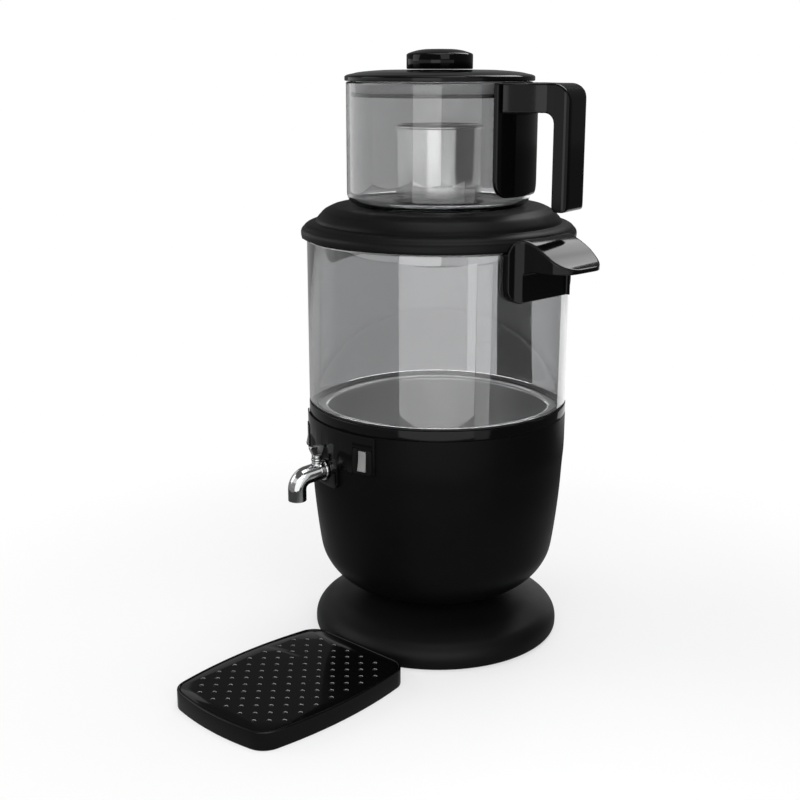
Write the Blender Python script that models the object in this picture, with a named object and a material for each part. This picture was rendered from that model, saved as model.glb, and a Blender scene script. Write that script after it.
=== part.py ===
"""Tea maker: a footed water boiler with a glass tank and a tap, a lift-off collar with two handles,
a glass teapot with a lid and a steel infuser, and a separate drip tray.
Metres, +Z up, front and tap at -Y."""

import math

import bmesh
import bpy
from mathutils import Matrix, Vector

for leftover in list(bpy.data.objects):
    bpy.data.objects.remove(leftover, do_unlink=True)

# Clearances and facet counts
SEAT_GAP = 0.0003
FIT_GAP = 0.0005
OVERRUN = 0.002
MERGE = 0.000001
LARGE_STEPS = 32
MEDIUM_STEPS = 20
SMALL_STEPS = 16
CORNER_STEPS = 3
BOWL_CORNER_STEPS = 2
TEAPOT_CORNER_STEPS = 2
SHARP_ANGLE = math.radians(32)

# Foot and base cover
FOOT_RADIUS = 0.0915
FOOT_RIM = 0.007
FOOT_ROLL = 0.0036
FOOT_TUCK = 0.0014
FOOT_HEIGHT = 0.0353
FOOT_WALL = 0.003
NECK_RADIUS = 0.042
COVER_INSET = 0.0035
COVER_THICKNESS = 0.002
COVER_LEDGE = 0.0045
PAD_RADIUS = 0.007
PAD_HEIGHT = 0.0017
PAD_PROUD = 0.001
PAD_INSET = 0.020
GLAND_RADIUS = 0.0031
GLAND_FLANGE = 0.0013
GLAND_BORE = 0.002
GLAND_Z = 0.0060

# Body, band and bowl
BODY_RADIUS = 0.094
BODY_HEIGHT = 0.1334
BODY_WALL = 0.003
BODY_HOLE = 0.030
BAND_HEIGHT = 0.0071
BAND_LEDGE_DROP = 0.0016
BOWL_INSET = 0.015
BOWL_DEPTH = 0.064
BOWL_CORNER = 0.015
BOWL_WALL = 0.0012
BOWL_GAP = 0.0008
BOWL_FLANGE = 0.0065
ELEMENT_RADIUS = 0.045
ELEMENT_TUBE = 0.004
THERMOSTAT_RADIUS = 0.012
THERMOSTAT_HEIGHT = 0.009

# Tank
GASKET_THICKNESS = 0.0008
TANK_INSET = 0.0002
TANK_WALL = 0.003
GASKET_WIDTH = 0.007
TANK_HEIGHT = 0.1168

# Control panel and switches
PANEL_PROUD = 0.0013
PANEL_END_MARGIN = 0.0012
PANEL_END_DROP = 0.0275
PANEL_TONGUE_DROP = 0.0435
PANEL_TONGUE_WIDTH = 0.030
PANEL_CORNER = 0.004
SWITCH_ANGLE = math.radians(23.9)
SWITCH_WIDTH = 0.0158
SWITCH_HEIGHT = 0.0176
SWITCH_DEPTH = 0.013
SWITCH_PROUD = 0.0005
SWITCH_DROP = 0.0184
ROCKER_WIDTH = 0.0062
ROCKER_HEIGHT = 0.0148
ROCKER_DEPTH = 0.006
ROCKER_PIVOT_DEPTH = 0.0020
ROCKER_PROUD = 0.0006
ROCKER_PIN_RADIUS = 0.001
ROCKER_PIN_REACH = 0.0014
ROCKER_GAP = 0.0004
ROCKER_TILT = math.radians(6)

# Tap
TAP_DROP = 0.033
TAP_SHANK_RADIUS = 0.005
TAP_FLANGE_RADIUS = 0.0074
TAP_FLANGE_THICKNESS = 0.0018
TAP_TUBE_RADIUS = 0.0065
TAP_BORE_RADIUS = 0.0040
TAP_REACH = 0.0221
TAP_SLOPE = math.radians(8)
TAP_ELBOW_RADIUS = 0.0095
TAP_OUTLET_DROP = 0.0190
TAP_VALVE_REACH = 0.0062
TAP_BOSS_RADIUS = 0.0036
TAP_BOSS_RISE = 0.0075
BONNET_RADIUS = 0.0039
BONNET_HEIGHT = 0.0016
SPINDLE_RADIUS = 0.0016
SPINDLE_GRIP = 0.0011
PLUG_RADIUS = 0.0027
PLUG_HEIGHT = 0.0034
LEVER_HUB_RADIUS = 0.0036
LEVER_HUB_HEIGHT = 0.0020
LEVER_FIN_HEIGHT = 0.0069
LEVER_WIDTH = 0.0112
LEVER_THICKNESS = 0.0030
TAP_WASHER_RADIUS = 0.0080
TAP_WASHER_THICKNESS = 0.0015
TAP_NUT_WIDTH = 0.016
TAP_NUT_THICKNESS = 0.005
SHANK_END = 0.0025

# Collar and side handles
COLLAR_REVEAL = 0.0009
COLLAR_OVERHANG = 0.0042
COLLAR_HEIGHT = 0.0215
COLLAR_SEAT = 0.004
COLLAR_WALL = 0.0028
COLLAR_SKIRT = 0.0030
COLLAR_SKIRT_WALL = 0.0026
COLLAR_SKIRT_GAP = 0.001
COLLAR_TURN = math.radians(103)
HANDLE_REACH = 0.0360
HANDLE_WIDTH = 0.047
HANDLE_SKIRT_WIDTH = 0.067
HANDLE_SKIRT_HEIGHT = 0.034
HANDLE_SKIRT_WALL = 0.0020
HANDLE_RISE = 0.0083
HANDLE_SKIN = 0.0018
HANDLE_POCKET_WIDTH = 0.050
HANDLE_CORNER = 0.010
HANDLE_TIP_CORNER = 0.0175
HANDLE_GLASS_GAP = 0.0007

# Teapot, lid and infuser
TEAPOT_RADIUS = 0.065
TEAPOT_WALL = 0.0025
TEAPOT_HEIGHT = 0.0847
TEAPOT_CORNER = 0.009
TEAPOT_TURN = math.radians(114)
LIP_REACH = 0.005
LIP_HEIGHT = 0.014
LIP_HALF_ANGLE = math.radians(15)
GRIP_REACH = 0.0424
GRIP_THICKNESS = 0.0112
GRIP_WIDTH = 0.028
GRIP_DROP = 0.083
BRIDGE_HEIGHT = 0.019
HANDLE_PLATE_HEIGHT = 0.075
HANDLE_PLATE_WIDTH = 0.056
HANDLE_PLATE_THICKNESS = 0.003
GRIP_CORNER = 0.012
LID_OVERHANG = 0.001
LID_EDGE = 0.0035
LID_CROWN = 0.004
LID_SKIRT_GAP = 0.004
LID_SKIRT_WALL = 0.002
LID_SKIRT_HEIGHT = 0.0105
LID_GROOVE = 0.0012
LID_GASKET_HEIGHT = 0.0025
LID_GASKET_GAP = 0.0006
KNOB_RADIUS = 0.023
KNOB_HEIGHT = 0.0100
KNOB_DOME = 0.0035
INFUSER_TOP_RADIUS = 0.031
INFUSER_FOOT_RADIUS = 0.0302
INFUSER_HEIGHT = 0.0508
INFUSER_WALL = 0.0008
INFUSER_RIM = 0.0012
INFUSER_STAND = 0.0017
INFUSER_STAND_FLARE = 0.005

# Drip tray
TRAY_LENGTH = 0.137
TRAY_END_WIDTH = 0.096
TRAY_SIDE_BULGE = 0.0045
TRAY_FRONT_BULGE = 0.003
TRAY_CORNER = 0.015
TRAY_HEIGHT = 0.013
TRAY_WALL = 0.0018
TRAY_FLOOR = 0.002
TRAY_LEDGE = 0.0016
TRAY_TURN = math.radians(14.8)
TRAY_GAP = 0.0004
TRAY_SHIFT = 0.0098
TRAY_PLATE_DROP = 0.0003
GRILLE_THICKNESS = 0.002
GRILLE_PITCH = 0.0097
GRILLE_HOLE = 0.0027
GRILLE_MARGIN = 0.008
GRILLE_HOLE_SIDES = 5

# Radii that follow from the piece which carries each
COVER_RADIUS = FOOT_RADIUS - COVER_INSET
PAD_CIRCLE = FOOT_RADIUS - PAD_INSET
BOWL_RADIUS = BODY_RADIUS - BOWL_INSET
BAND_INNER_RADIUS = BOWL_RADIUS + BOWL_WALL + BOWL_GAP
TANK_RADIUS = BODY_RADIUS - TANK_INSET
COLLAR_RADIUS = TANK_RADIUS + COLLAR_OVERHANG
COLLAR_HOLE = TEAPOT_RADIUS - TEAPOT_CORNER - COLLAR_SEAT
LID_RADIUS = TEAPOT_RADIUS + LID_OVERHANG
LID_SKIRT_RADIUS = TEAPOT_RADIUS - TEAPOT_WALL - LID_SKIRT_GAP
GRIP_RADIUS = TEAPOT_RADIUS + GRIP_REACH

# Levels, from the surface under the base cover upwards
FLOOR_Z = -PAD_PROUD
BODY_BOTTOM = FOOT_HEIGHT + SEAT_GAP
BODY_TOP = BODY_BOTTOM + BODY_HEIGHT
BAND_BOTTOM = BODY_TOP + SEAT_GAP
BAND_TOP = BAND_BOTTOM + BAND_HEIGHT
BAND_LEDGE = BAND_TOP - BAND_LEDGE_DROP
BOWL_FLANGE_BOTTOM = BAND_LEDGE + SEAT_GAP
BOWL_TOP = BOWL_FLANGE_BOTTOM + BOWL_WALL
BOWL_FLOOR = BOWL_TOP - BOWL_DEPTH
BOWL_UNDERSIDE = BOWL_FLOOR - BOWL_WALL
GASKET_BOTTOM = BAND_TOP + SEAT_GAP
TANK_BOTTOM = GASKET_BOTTOM + GASKET_THICKNESS + SEAT_GAP
TANK_TOP = TANK_BOTTOM + TANK_HEIGHT
COLLAR_GASKET_BOTTOM = TANK_TOP + SEAT_GAP
COLLAR_BOTTOM = TANK_TOP + COLLAR_REVEAL
COLLAR_TOP = COLLAR_BOTTOM + COLLAR_HEIGHT
TEAPOT_BOTTOM = COLLAR_TOP + SEAT_GAP
TEAPOT_TOP = TEAPOT_BOTTOM + TEAPOT_HEIGHT
LID_BOTTOM = TEAPOT_TOP + FIT_GAP
LID_TOP = LID_BOTTOM + LID_EDGE + LID_CROWN
PANEL_RADIUS = BODY_RADIUS + PANEL_PROUD
PANEL_TOP = BODY_TOP - FIT_GAP
SWITCH_RADIUS = PANEL_RADIUS + SWITCH_PROUD
SWITCH_Z = BODY_TOP - SWITCH_DROP
TAP_Z = BODY_TOP - TAP_DROP

# Finishes: base colour, roughness, metallic and transmission
FINISH_SHARES = {
    "satin_black": ((0.016, 0.016, 0.017), 0.42, 0.0, 0.0),
    "gloss_black": ((0.010, 0.010, 0.011), 0.08, 0.0, 0.0),
    "rubber": ((0.022, 0.022, 0.022), 0.75, 0.0, 0.0),
    "light_grey": ((0.45, 0.45, 0.44), 0.40, 0.0, 0.0),
    "chrome": ((0.80, 0.80, 0.80), 0.08, 1.0, 0.0),
    "steel": ((0.56, 0.56, 0.55), 0.32, 1.0, 0.0),
    "glass": ((0.62, 0.63, 0.63), 0.02, 0.0, 0.9),
}


def finish(obj, kind):
    """Gives the object its own Principled material of this kind."""
    colour, roughness, metallic, transmission = FINISH_SHARES[kind]
    made = bpy.data.materials.new(obj.name + "_" + kind)
    made.use_nodes = True
    shader = made.node_tree.nodes["Principled BSDF"]
    shader.inputs["Base Color"].default_value = (*colour, 1)
    shader.inputs["Roughness"].default_value = roughness
    shader.inputs["Metallic"].default_value = metallic
    shader.inputs["Transmission Weight"].default_value = transmission
    obj.data.materials.clear()
    obj.data.materials.append(made)


def shade(mesh):
    mesh.shade_smooth()
    mesh.set_sharp_from_angle(angle=SHARP_ANGLE)


def to_object(name, bm):
    """A new object from a bmesh, its faces turned outwards."""
    bmesh.ops.remove_doubles(bm, verts=bm.verts, dist=MERGE)
    bmesh.ops.recalc_face_normals(bm, faces=bm.faces)
    mesh = bpy.data.meshes.new(name)
    bm.to_mesh(mesh)
    bm.free()
    shade(mesh)
    obj = bpy.data.objects.new(name, mesh)
    bpy.context.scene.collection.objects.link(obj)
    return obj


def combine(obj, tool, operation):
    """Joins, cuts or trims the object by the tool with an exact Boolean, and removes the tool."""
    step = obj.modifiers.new(operation.title(), "BOOLEAN")
    step.operation = operation
    step.object = tool
    bpy.context.view_layer.update()
    evaluated = obj.evaluated_get(bpy.context.evaluated_depsgraph_get())
    mesh = bpy.data.meshes.new_from_object(evaluated)
    obj.modifiers.clear()
    obj.data = mesh
    shade(mesh)
    bpy.data.objects.remove(tool, do_unlink=True)
    return obj


def turned(name, profile, steps=LARGE_STEPS):
    """Turns (radius, height) points round the vertical axis, a profile off it closed into a ring."""
    bm = bmesh.new()
    verts = [bm.verts.new((radius, 0, height)) for radius, height in profile]
    edges = [bm.edges.new(pair) for pair in zip(verts, verts[1:])]
    if profile[0][0] > 0 or profile[-1][0] > 0:
        edges.append(bm.edges.new((verts[-1], verts[0])))
    bmesh.ops.spin(
        bm,
        geom=verts + edges,
        cent=(0, 0, 0),
        axis=(0, 0, 1),
        dvec=(0, 0, 0),
        angle=2 * math.pi,
        steps=steps,
        use_merge=True,
    )
    return to_object(name, bm)


def disc(name, radius, bottom, top, steps=LARGE_STEPS):
    return turned(name, [(0, top), (radius, top), (radius, bottom), (0, bottom)], steps)


def ring(name, inner, outer, bottom, top, steps=LARGE_STEPS):
    return turned(name, [(outer, bottom), (outer, top), (inner, top), (inner, bottom)], steps)


def lofted(name, loops):
    """Joins loops of the same number of points, one above the other, and caps both ends."""
    bm = bmesh.new()
    rings = [[bm.verts.new(point) for point in loop] for loop in loops]
    for lower, upper in zip(rings, rings[1:]):
        for i in range(len(lower)):
            j = (i + 1) % len(lower)
            bm.faces.new((lower[i], lower[j], upper[j], upper[i]))
    bm.faces.new(rings[0])
    bm.faces.new(rings[-1])
    return to_object(name, bm)


def plan_prism(name, outline, low, high):
    """An (x, y) outline raised from one height to another."""
    return lofted(name, [[(x, y, z) for x, y in outline] for z in (low, high)])


def side_prism(name, outline, half_width):
    """An (outward, height) outline, outward being -Y, made as wide as asked."""
    return lofted(name, [[(x, -out, z) for out, z in outline] for x in (-half_width, half_width)])


def front_prism(name, outline, inner, outer):
    """An (x, z) outline carried outwards, along -Y, from one distance to another."""
    return lofted(name, [[(x, -out, z) for x, z in outline] for out in (inner, outer)])


def cylinder(name, radius, start, end, sides=SMALL_STEPS):
    """A round bar between two points."""
    start = Vector(start)
    along = Vector(end) - start
    bm = bmesh.new()
    bmesh.ops.create_cone(
        bm, cap_ends=True, segments=sides, radius1=radius, radius2=radius, depth=along.length
    )
    turn = along.to_track_quat("Z", "Y").to_matrix().to_4x4()
    bmesh.ops.transform(bm, verts=bm.verts, matrix=Matrix.Translation(start + along / 2) @ turn)
    return to_object(name, bm)


def pipe(name, path, radius, roundness):
    """A round bar along a path of points."""
    curve = bpy.data.curves.new(name, "CURVE")
    curve.dimensions = "3D"
    curve.bevel_depth = radius
    curve.bevel_resolution = roundness
    curve.use_fill_caps = True
    spline = curve.splines.new("POLY")
    spline.points.add(len(path) - 1)
    for point, place in zip(spline.points, path):
        point.co = (*place, 1)
    guide = bpy.data.objects.new(name + "_path", curve)
    bpy.context.scene.collection.objects.link(guide)
    bpy.context.view_layer.update()
    bm = bmesh.new()
    bm.from_mesh(guide.to_mesh())
    guide.to_mesh_clear()
    bpy.data.objects.remove(guide, do_unlink=True)
    return to_object(name, bm)


def arc(centre, radius, first, last, steps=CORNER_STEPS):
    """Points on an arc between two angles in degrees."""
    angles = [math.radians(first + (last - first) * i / steps) for i in range(steps + 1)]
    return [(centre[0] + radius * math.cos(a), centre[1] + radius * math.sin(a)) for a in angles]


def inset(profile, distance):
    """The profile moved to its right-hand side by the distance, as the inner face of a wall."""
    moved = []
    for i, (radius, height) in enumerate(profile):
        before = profile[max(i - 1, 0)]
        after = profile[min(i + 1, len(profile) - 1)]
        along = Vector((after[0] - before[0], after[1] - before[1])).normalized()
        moved.append((radius + along.y * distance, height - along.x * distance))
    return moved


def turn_about_axis(obj, angle):
    """Turns the piece about the vertical axis, from the front towards +X."""
    obj.rotation_euler.z = angle
    return obj


def bake(obj):
    """Writes the object's place into its mesh."""
    bpy.context.view_layer.update()
    obj.data.transform(obj.matrix_world)
    obj.matrix_world = Matrix.Identity(4)
    return obj


# Foot: a wide disc with a rolled edge that sweeps up into the waisted neck

FOOT_SWEEP_SHARES = (
    (0.0, 1.0), (0.012, 0.956), (0.081, 0.883), (0.242, 0.801), (0.606, 0.622), (0.758, 0.511),
    (0.879, 0.410), (0.958, 0.278), (0.994, 0.145), (1.0, 0.0),
)
FOOT_CREST_SHARE = 0.76


def foot_sweep():
    width = FOOT_RADIUS - NECK_RADIUS
    rise = FOOT_HEIGHT - FOOT_ROLL
    return [(NECK_RADIUS + width * r, FOOT_ROLL + rise * z) for r, z in FOOT_SWEEP_SHARES]


def make_foot():
    outside = foot_sweep()
    crest = NECK_RADIUS + (FOOT_RADIUS - NECK_RADIUS) * FOOT_CREST_SHARE
    inside = [point for point in inset(outside[::2], FOOT_WALL) if point[0] < crest]
    inside[0] = (NECK_RADIUS - FOOT_WALL, FOOT_HEIGHT)
    ledge = COVER_RADIUS - COVER_LEDGE
    recess = COVER_RADIUS + FIT_GAP
    roof = COVER_THICKNESS + SEAT_GAP
    below = [(ledge, FOOT_RIM), (ledge, roof), (recess, roof), (recess, 0)]
    rolled = [(FOOT_RADIUS - FOOT_TUCK, 0), (FOOT_RADIUS - FOOT_TUCK / 3, FOOT_ROLL / 3)]
    foot = turned("pedestal_foot", outside[::-1] + inside + below + rolled)
    reach = (ledge - OVERRUN, FOOT_RADIUS + OVERRUN)
    hole = cylinder(
        "gland_hole", GLAND_RADIUS + SEAT_GAP, (0, reach[0], GLAND_Z), (0, reach[1], GLAND_Z)
    )
    finish(combine(foot, hole, "DIFFERENCE"), "satin_black")


def make_base_cover():
    cover = turned(
        "base_cover",
        [(0, COVER_THICKNESS), (COVER_RADIUS, COVER_THICKNESS), (COVER_RADIUS, 0), (0, 0)],
    )
    seat = PAD_HEIGHT - PAD_PROUD + SEAT_GAP
    for turn in pad_turns():
        place = pad_place(turn)
        recess = cylinder(
            "pad_recess", PAD_RADIUS + SEAT_GAP, (*place, -OVERRUN), (*place, seat), SMALL_STEPS
        )
        combine(cover, recess, "DIFFERENCE")
    finish(cover, "satin_black")


def pad_turns():
    return [math.radians(45 + 90 * i) for i in range(4)]


def pad_place(turn):
    return PAD_CIRCLE * math.cos(turn), PAD_CIRCLE * math.sin(turn)


def make_foot_pads():
    for number, turn in enumerate(pad_turns(), 1):
        place = pad_place(turn)
        pad = cylinder(
            f"foot_pad_{number}",
            PAD_RADIUS,
            (*place, FLOOR_Z),
            (*place, FLOOR_Z + PAD_HEIGHT),
        )
        finish(pad, "rubber")


def make_cord_gland():
    """The bored bush at the back of the foot, with a flange outside."""
    inner = COVER_RADIUS - COVER_LEDGE
    face = FOOT_RADIUS + SEAT_GAP
    outer = face + GLAND_FLANGE
    gland = cylinder("cord_gland", GLAND_RADIUS, (0, inner, GLAND_Z), (0, outer, GLAND_Z))
    flange = cylinder(
        "gland_flange", GLAND_RADIUS + GLAND_FLANGE, (0, face, GLAND_Z), (0, outer, GLAND_Z)
    )
    combine(gland, flange, "UNION")
    bore = cylinder(
        "gland_bore",
        GLAND_BORE,
        (0, inner - OVERRUN, GLAND_Z),
        (0, outer + OVERRUN, GLAND_Z),
        SMALL_STEPS // 2,
    )
    finish(combine(gland, bore, "DIFFERENCE"), "rubber")


# Body: a deep bowl on the neck, open at the top, with the band on its rim

BODY_SHARES = (
    (1.0, 1.0), (0.998, 0.806), (0.988, 0.7075), (0.9755, 0.565), (0.9565, 0.4228), (0.934, 0.2954),
    (0.913, 0.2091), (0.879, 0.1514), (0.830, 0.1004), (0.766, 0.057), (0.692, 0.024), (0.606, 0.0),
)


def body_profile():
    return [(BODY_RADIUS * r, BODY_BOTTOM + BODY_HEIGHT * z) for r, z in BODY_SHARES]


def body_opening(name, width, height, centre_z, angle, inner):
    """A box-shaped cutter through the wall, square to the surface at this angle."""
    outline = [
        (sx * width / 2, centre_z + sz * height / 2) for sx, sz in ((-1, -1), (1, -1), (1, 1), (-1, 1))
    ]
    box = front_prism(name, outline, inner, SWITCH_RADIUS + OVERRUN)
    return bake(turn_about_axis(box, angle))


def shank_hole(name, inner, outer):
    return cylinder(name, TAP_SHANK_RADIUS + FIT_GAP, (0, -inner, TAP_Z), (0, -outer, TAP_Z))


def switch_inner():
    return SWITCH_RADIUS - SWITCH_DEPTH


def switch_holes(obj):
    """Cuts the two windows that the switch frames sit in."""
    for side in (-1, 1):
        window = body_opening(
            "switch_window",
            SWITCH_WIDTH + 2 * SEAT_GAP,
            SWITCH_HEIGHT + 2 * SEAT_GAP,
            SWITCH_Z,
            side * SWITCH_ANGLE,
            switch_inner() - OVERRUN,
        )
        combine(obj, window, "DIFFERENCE")


def make_body():
    outside = body_profile()
    inside = inset(outside[::2], BODY_WALL)
    inside[0] = (BODY_RADIUS - BODY_WALL, BODY_TOP)
    floor = [(BODY_HOLE, BODY_BOTTOM + BODY_WALL), (BODY_HOLE, BODY_BOTTOM)]
    body = turned("body_shell", outside[::-1] + inside + floor)
    combine(body, shank_hole("shank_hole", BOWL_RADIUS, PANEL_RADIUS), "DIFFERENCE")
    switch_holes(body)
    finish(body, "satin_black")


def make_band():
    ledge_radius = BOWL_RADIUS + BOWL_FLANGE + FIT_GAP
    band = turned(
        "trim_band",
        [
            (BODY_RADIUS, BAND_BOTTOM),
            (BODY_RADIUS, BAND_TOP),
            (ledge_radius, BAND_TOP),
            (ledge_radius, BAND_LEDGE),
            (BAND_INNER_RADIUS, BAND_LEDGE),
            (BAND_INNER_RADIUS, BAND_BOTTOM),
        ],
    )
    finish(band, "gloss_black")


# Boiler bowl: a drawn steel bowl hung by its flange inside the body

def make_bowl():
    corner = (BOWL_RADIUS - BOWL_CORNER, BOWL_FLOOR + BOWL_CORNER)
    inside = arc(corner, BOWL_CORNER, 0, -90, BOWL_CORNER_STEPS)
    outside = arc(corner, BOWL_CORNER + BOWL_WALL, -90, 0, BOWL_CORNER_STEPS)
    flange = BOWL_RADIUS + BOWL_FLANGE
    bowl = turned(
        "boiler_bowl",
        [
            (0, BOWL_UNDERSIDE),
            *outside,
            (BOWL_RADIUS + BOWL_WALL, BOWL_FLANGE_BOTTOM),
            (flange, BOWL_FLANGE_BOTTOM),
            (flange, BOWL_TOP),
            (BOWL_RADIUS, BOWL_TOP),
            *inside,
            (0, BOWL_FLOOR),
        ],
    )
    hole = shank_hole("shank_hole", BOWL_RADIUS - BOWL_CORNER, BOWL_RADIUS + BOWL_CORNER)
    finish(combine(bowl, hole, "DIFFERENCE"), "steel")


def make_element():
    """The ring-shaped heater held under the bowl."""
    height = BOWL_UNDERSIDE - SEAT_GAP - ELEMENT_TUBE
    element = turned(
        "heating_element", arc((ELEMENT_RADIUS, height), ELEMENT_TUBE, 30, 330, 5), MEDIUM_STEPS
    )
    finish(element, "steel")


THERMOSTAT_NECK_SHARE = 0.65


def make_thermostat():
    top = BOWL_UNDERSIDE - SEAT_GAP
    bottom = top - THERMOSTAT_HEIGHT
    step = top - THERMOSTAT_HEIGHT * (1 - THERMOSTAT_NECK_SHARE)
    neck = THERMOSTAT_RADIUS * THERMOSTAT_NECK_SHARE
    thermostat = turned(
        "thermostat",
        [
            (0, top),
            (THERMOSTAT_RADIUS, top),
            (THERMOSTAT_RADIUS, step),
            (neck, step),
            (neck, bottom),
            (0, bottom),
        ],
        SMALL_STEPS,
    )
    finish(thermostat, "satin_black")


# Tank: a glass cylinder on a flat gasket

def make_tank():
    gasket_top = GASKET_BOTTOM + GASKET_THICKNESS
    gasket = ring("tank_gasket", TANK_RADIUS - GASKET_WIDTH, TANK_RADIUS, GASKET_BOTTOM, gasket_top)
    finish(gasket, "rubber")
    tank = ring("glass_tank", TANK_RADIUS - TANK_WALL, TANK_RADIUS, TANK_BOTTOM, TANK_TOP)
    finish(tank, "glass")


# Control panel: a strip that wraps the front of the body, deeper in the middle where the tap comes out

def rounded(core, radius, arc_step=0.4):
    """A convex, anticlockwise outline moved outwards by the radius, its corners round."""
    points = []
    for i, corner in enumerate(core):
        corner = Vector(corner)
        before = (corner - Vector(core[i - 1])).normalized()
        after = (Vector(core[(i + 1) % len(core)]) - corner).normalized()
        first = Vector((before.y, -before.x))
        bend = before.angle_signed(after) * -1
        count = max(0, math.ceil(bend / arc_step))
        for k in range(count + 1):
            share = k / count if count > 1 else 0.5
            turn = Matrix.Rotation(bend * share, 2)
            points.append(tuple(corner + turn @ first * radius))
            if count < 2:
                break
    return points


def panel_outline():
    switch_middle = SWITCH_RADIUS * math.sin(SWITCH_ANGLE)
    switch_edge = switch_middle + SWITCH_WIDTH / 2 * math.cos(SWITCH_ANGLE)
    half_end = switch_edge + PANEL_END_MARGIN
    half_tongue = PANEL_TONGUE_WIDTH / 2
    end = PANEL_TOP - PANEL_END_DROP
    tongue = PANEL_TOP - PANEL_TONGUE_DROP
    corner = PANEL_CORNER
    right = (
        arc((half_tongue - corner, tongue + corner), corner, -90, 0)
        + arc((half_tongue + corner, end - corner), corner, 180, 90)
        + arc((half_end - corner / 2, end + corner / 2), corner / 2, -90, 0)
        + [(half_end, PANEL_TOP)]
    )
    return right + [(-x, z) for x, z in right[::-1]]


def body_radius_between(low, high):
    """The body's own profile points between two heights, with its radius at both ends."""
    profile = body_profile()

    def radius_at(height):
        for (r1, z1), (r2, z2) in zip(profile, profile[1:]):
            if z2 <= height <= z1:
                return r2 + (r1 - r2) * (height - z2) / (z1 - z2)
        return profile[0][0]

    middle = [point for point in profile if low < point[1] < high]
    return [(radius_at(high), high), *middle, (radius_at(low), low)]


def make_panel():
    low = PANEL_TOP - PANEL_TONGUE_DROP - OVERRUN
    inner = [(radius + SEAT_GAP, z) for radius, z in body_radius_between(low, PANEL_TOP)]
    panel = turned("control_panel", [(PANEL_RADIUS, low), (PANEL_RADIUS, PANEL_TOP), *inner])
    edge = front_prism("panel_edge", panel_outline(), 0, PANEL_RADIUS + OVERRUN)
    combine(panel, edge, "INTERSECT")
    combine(panel, shank_hole("shank_hole", BOWL_RADIUS, PANEL_RADIUS + OVERRUN), "DIFFERENCE")
    switch_holes(panel)
    finish(panel, "gloss_black")


# Switches: a framed rocker at each end of the panel

def rocker_pivot_radius():
    return SWITCH_RADIUS - ROCKER_PIVOT_DEPTH


def make_switch_frame(name, angle):
    inner = switch_inner()
    frame = body_opening(name, SWITCH_WIDTH, SWITCH_HEIGHT, SWITCH_Z, angle, inner)
    skin = disc("switch_skin", SWITCH_RADIUS, SWITCH_Z - SWITCH_HEIGHT, SWITCH_Z + SWITCH_HEIGHT)
    combine(frame, skin, "INTERSECT")
    window = body_opening(
        "rocker_window",
        ROCKER_WIDTH + 2 * ROCKER_GAP,
        ROCKER_HEIGHT + 2 * ROCKER_GAP,
        SWITCH_Z,
        angle,
        inner - OVERRUN,
    )
    combine(frame, window, "DIFFERENCE")
    reach = ROCKER_WIDTH / 2 + ROCKER_PIN_REACH + ROCKER_GAP
    out = -rocker_pivot_radius()
    holes = cylinder(
        "pin_holes",
        ROCKER_PIN_RADIUS + SEAT_GAP,
        (-reach, out, SWITCH_Z),
        (reach, out, SWITCH_Z),
        SMALL_STEPS // 2,
    )
    combine(frame, bake(turn_about_axis(holes, angle)), "DIFFERENCE")
    finish(frame, "satin_black")


def rocker_outline():
    """Side view of the rocker about its pivot: a dished face, and ends on an arc that clears the frame."""
    radius = ROCKER_HEIGHT / 2
    face = ROCKER_PIVOT_DEPTH + ROCKER_PROUD
    front = math.degrees(math.asin(face / radius))
    back = math.degrees(math.asin((ROCKER_DEPTH - ROCKER_PIVOT_DEPTH) / radius))
    top = arc((0, 0), radius, 90 - front, 90 + back)
    bottom = arc((0, 0), radius, -90 - back, -90 + front)
    dish = (face - ROCKER_PROUD, 0)
    return top + bottom + [dish]


def make_rocker(name, angle):
    rocker = side_prism(name, rocker_outline(), ROCKER_WIDTH / 2)
    reach = ROCKER_WIDTH / 2 + ROCKER_PIN_REACH
    pins = cylinder("pins", ROCKER_PIN_RADIUS, (-reach, 0, 0), (reach, 0, 0), SMALL_STEPS // 2)
    combine(rocker, pins, "UNION")
    pivot = rocker_pivot_radius()
    rocker.location = (pivot * math.sin(angle), -pivot * math.cos(angle), SWITCH_Z)
    rocker.rotation_euler = (-ROCKER_TILT, 0, angle)
    finish(rocker, "light_grey")


# Tap: a shank clamped through body and bowl, a spout that turns down, and a lever on a spindle

def tap_face():
    """Distance of the flange's outer face from the axis."""
    return PANEL_RADIUS + SEAT_GAP + TAP_FLANGE_THICKNESS


def tap_start():
    return tap_face() + SEAT_GAP + TAP_TUBE_RADIUS * math.sin(TAP_SLOPE)


def tap_path():
    """The spout's centre line as (x, y, z), from inside the hub to the outlet."""
    start = tap_start()
    turn_out = PANEL_RADIUS + TAP_REACH
    fall = math.tan(TAP_SLOPE)
    corner = (turn_out, TAP_Z - (turn_out - start) * fall)
    tangent = TAP_ELBOW_RADIUS * math.tan((math.pi / 2 - TAP_SLOPE) / 2)
    centre = (turn_out - TAP_ELBOW_RADIUS, corner[1] - tangent)
    bend = arc(centre, TAP_ELBOW_RADIUS, 90 - math.degrees(TAP_SLOPE), 0, 6)
    points = [(start, TAP_Z)] + bend + [(turn_out, TAP_Z - TAP_OUTLET_DROP)]
    return [(0, -out, z) for out, z in points]


def valve_place():
    return 0, -(PANEL_RADIUS + TAP_VALVE_REACH)


def tap_inside_face():
    """Where the washer meets the bowl's curved wall."""
    return math.sqrt(BOWL_RADIUS**2 - TAP_WASHER_RADIUS**2) - FIT_GAP


def shank_end():
    return tap_inside_face() - TAP_WASHER_THICKNESS - SEAT_GAP - TAP_NUT_THICKNESS - SHANK_END


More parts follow.
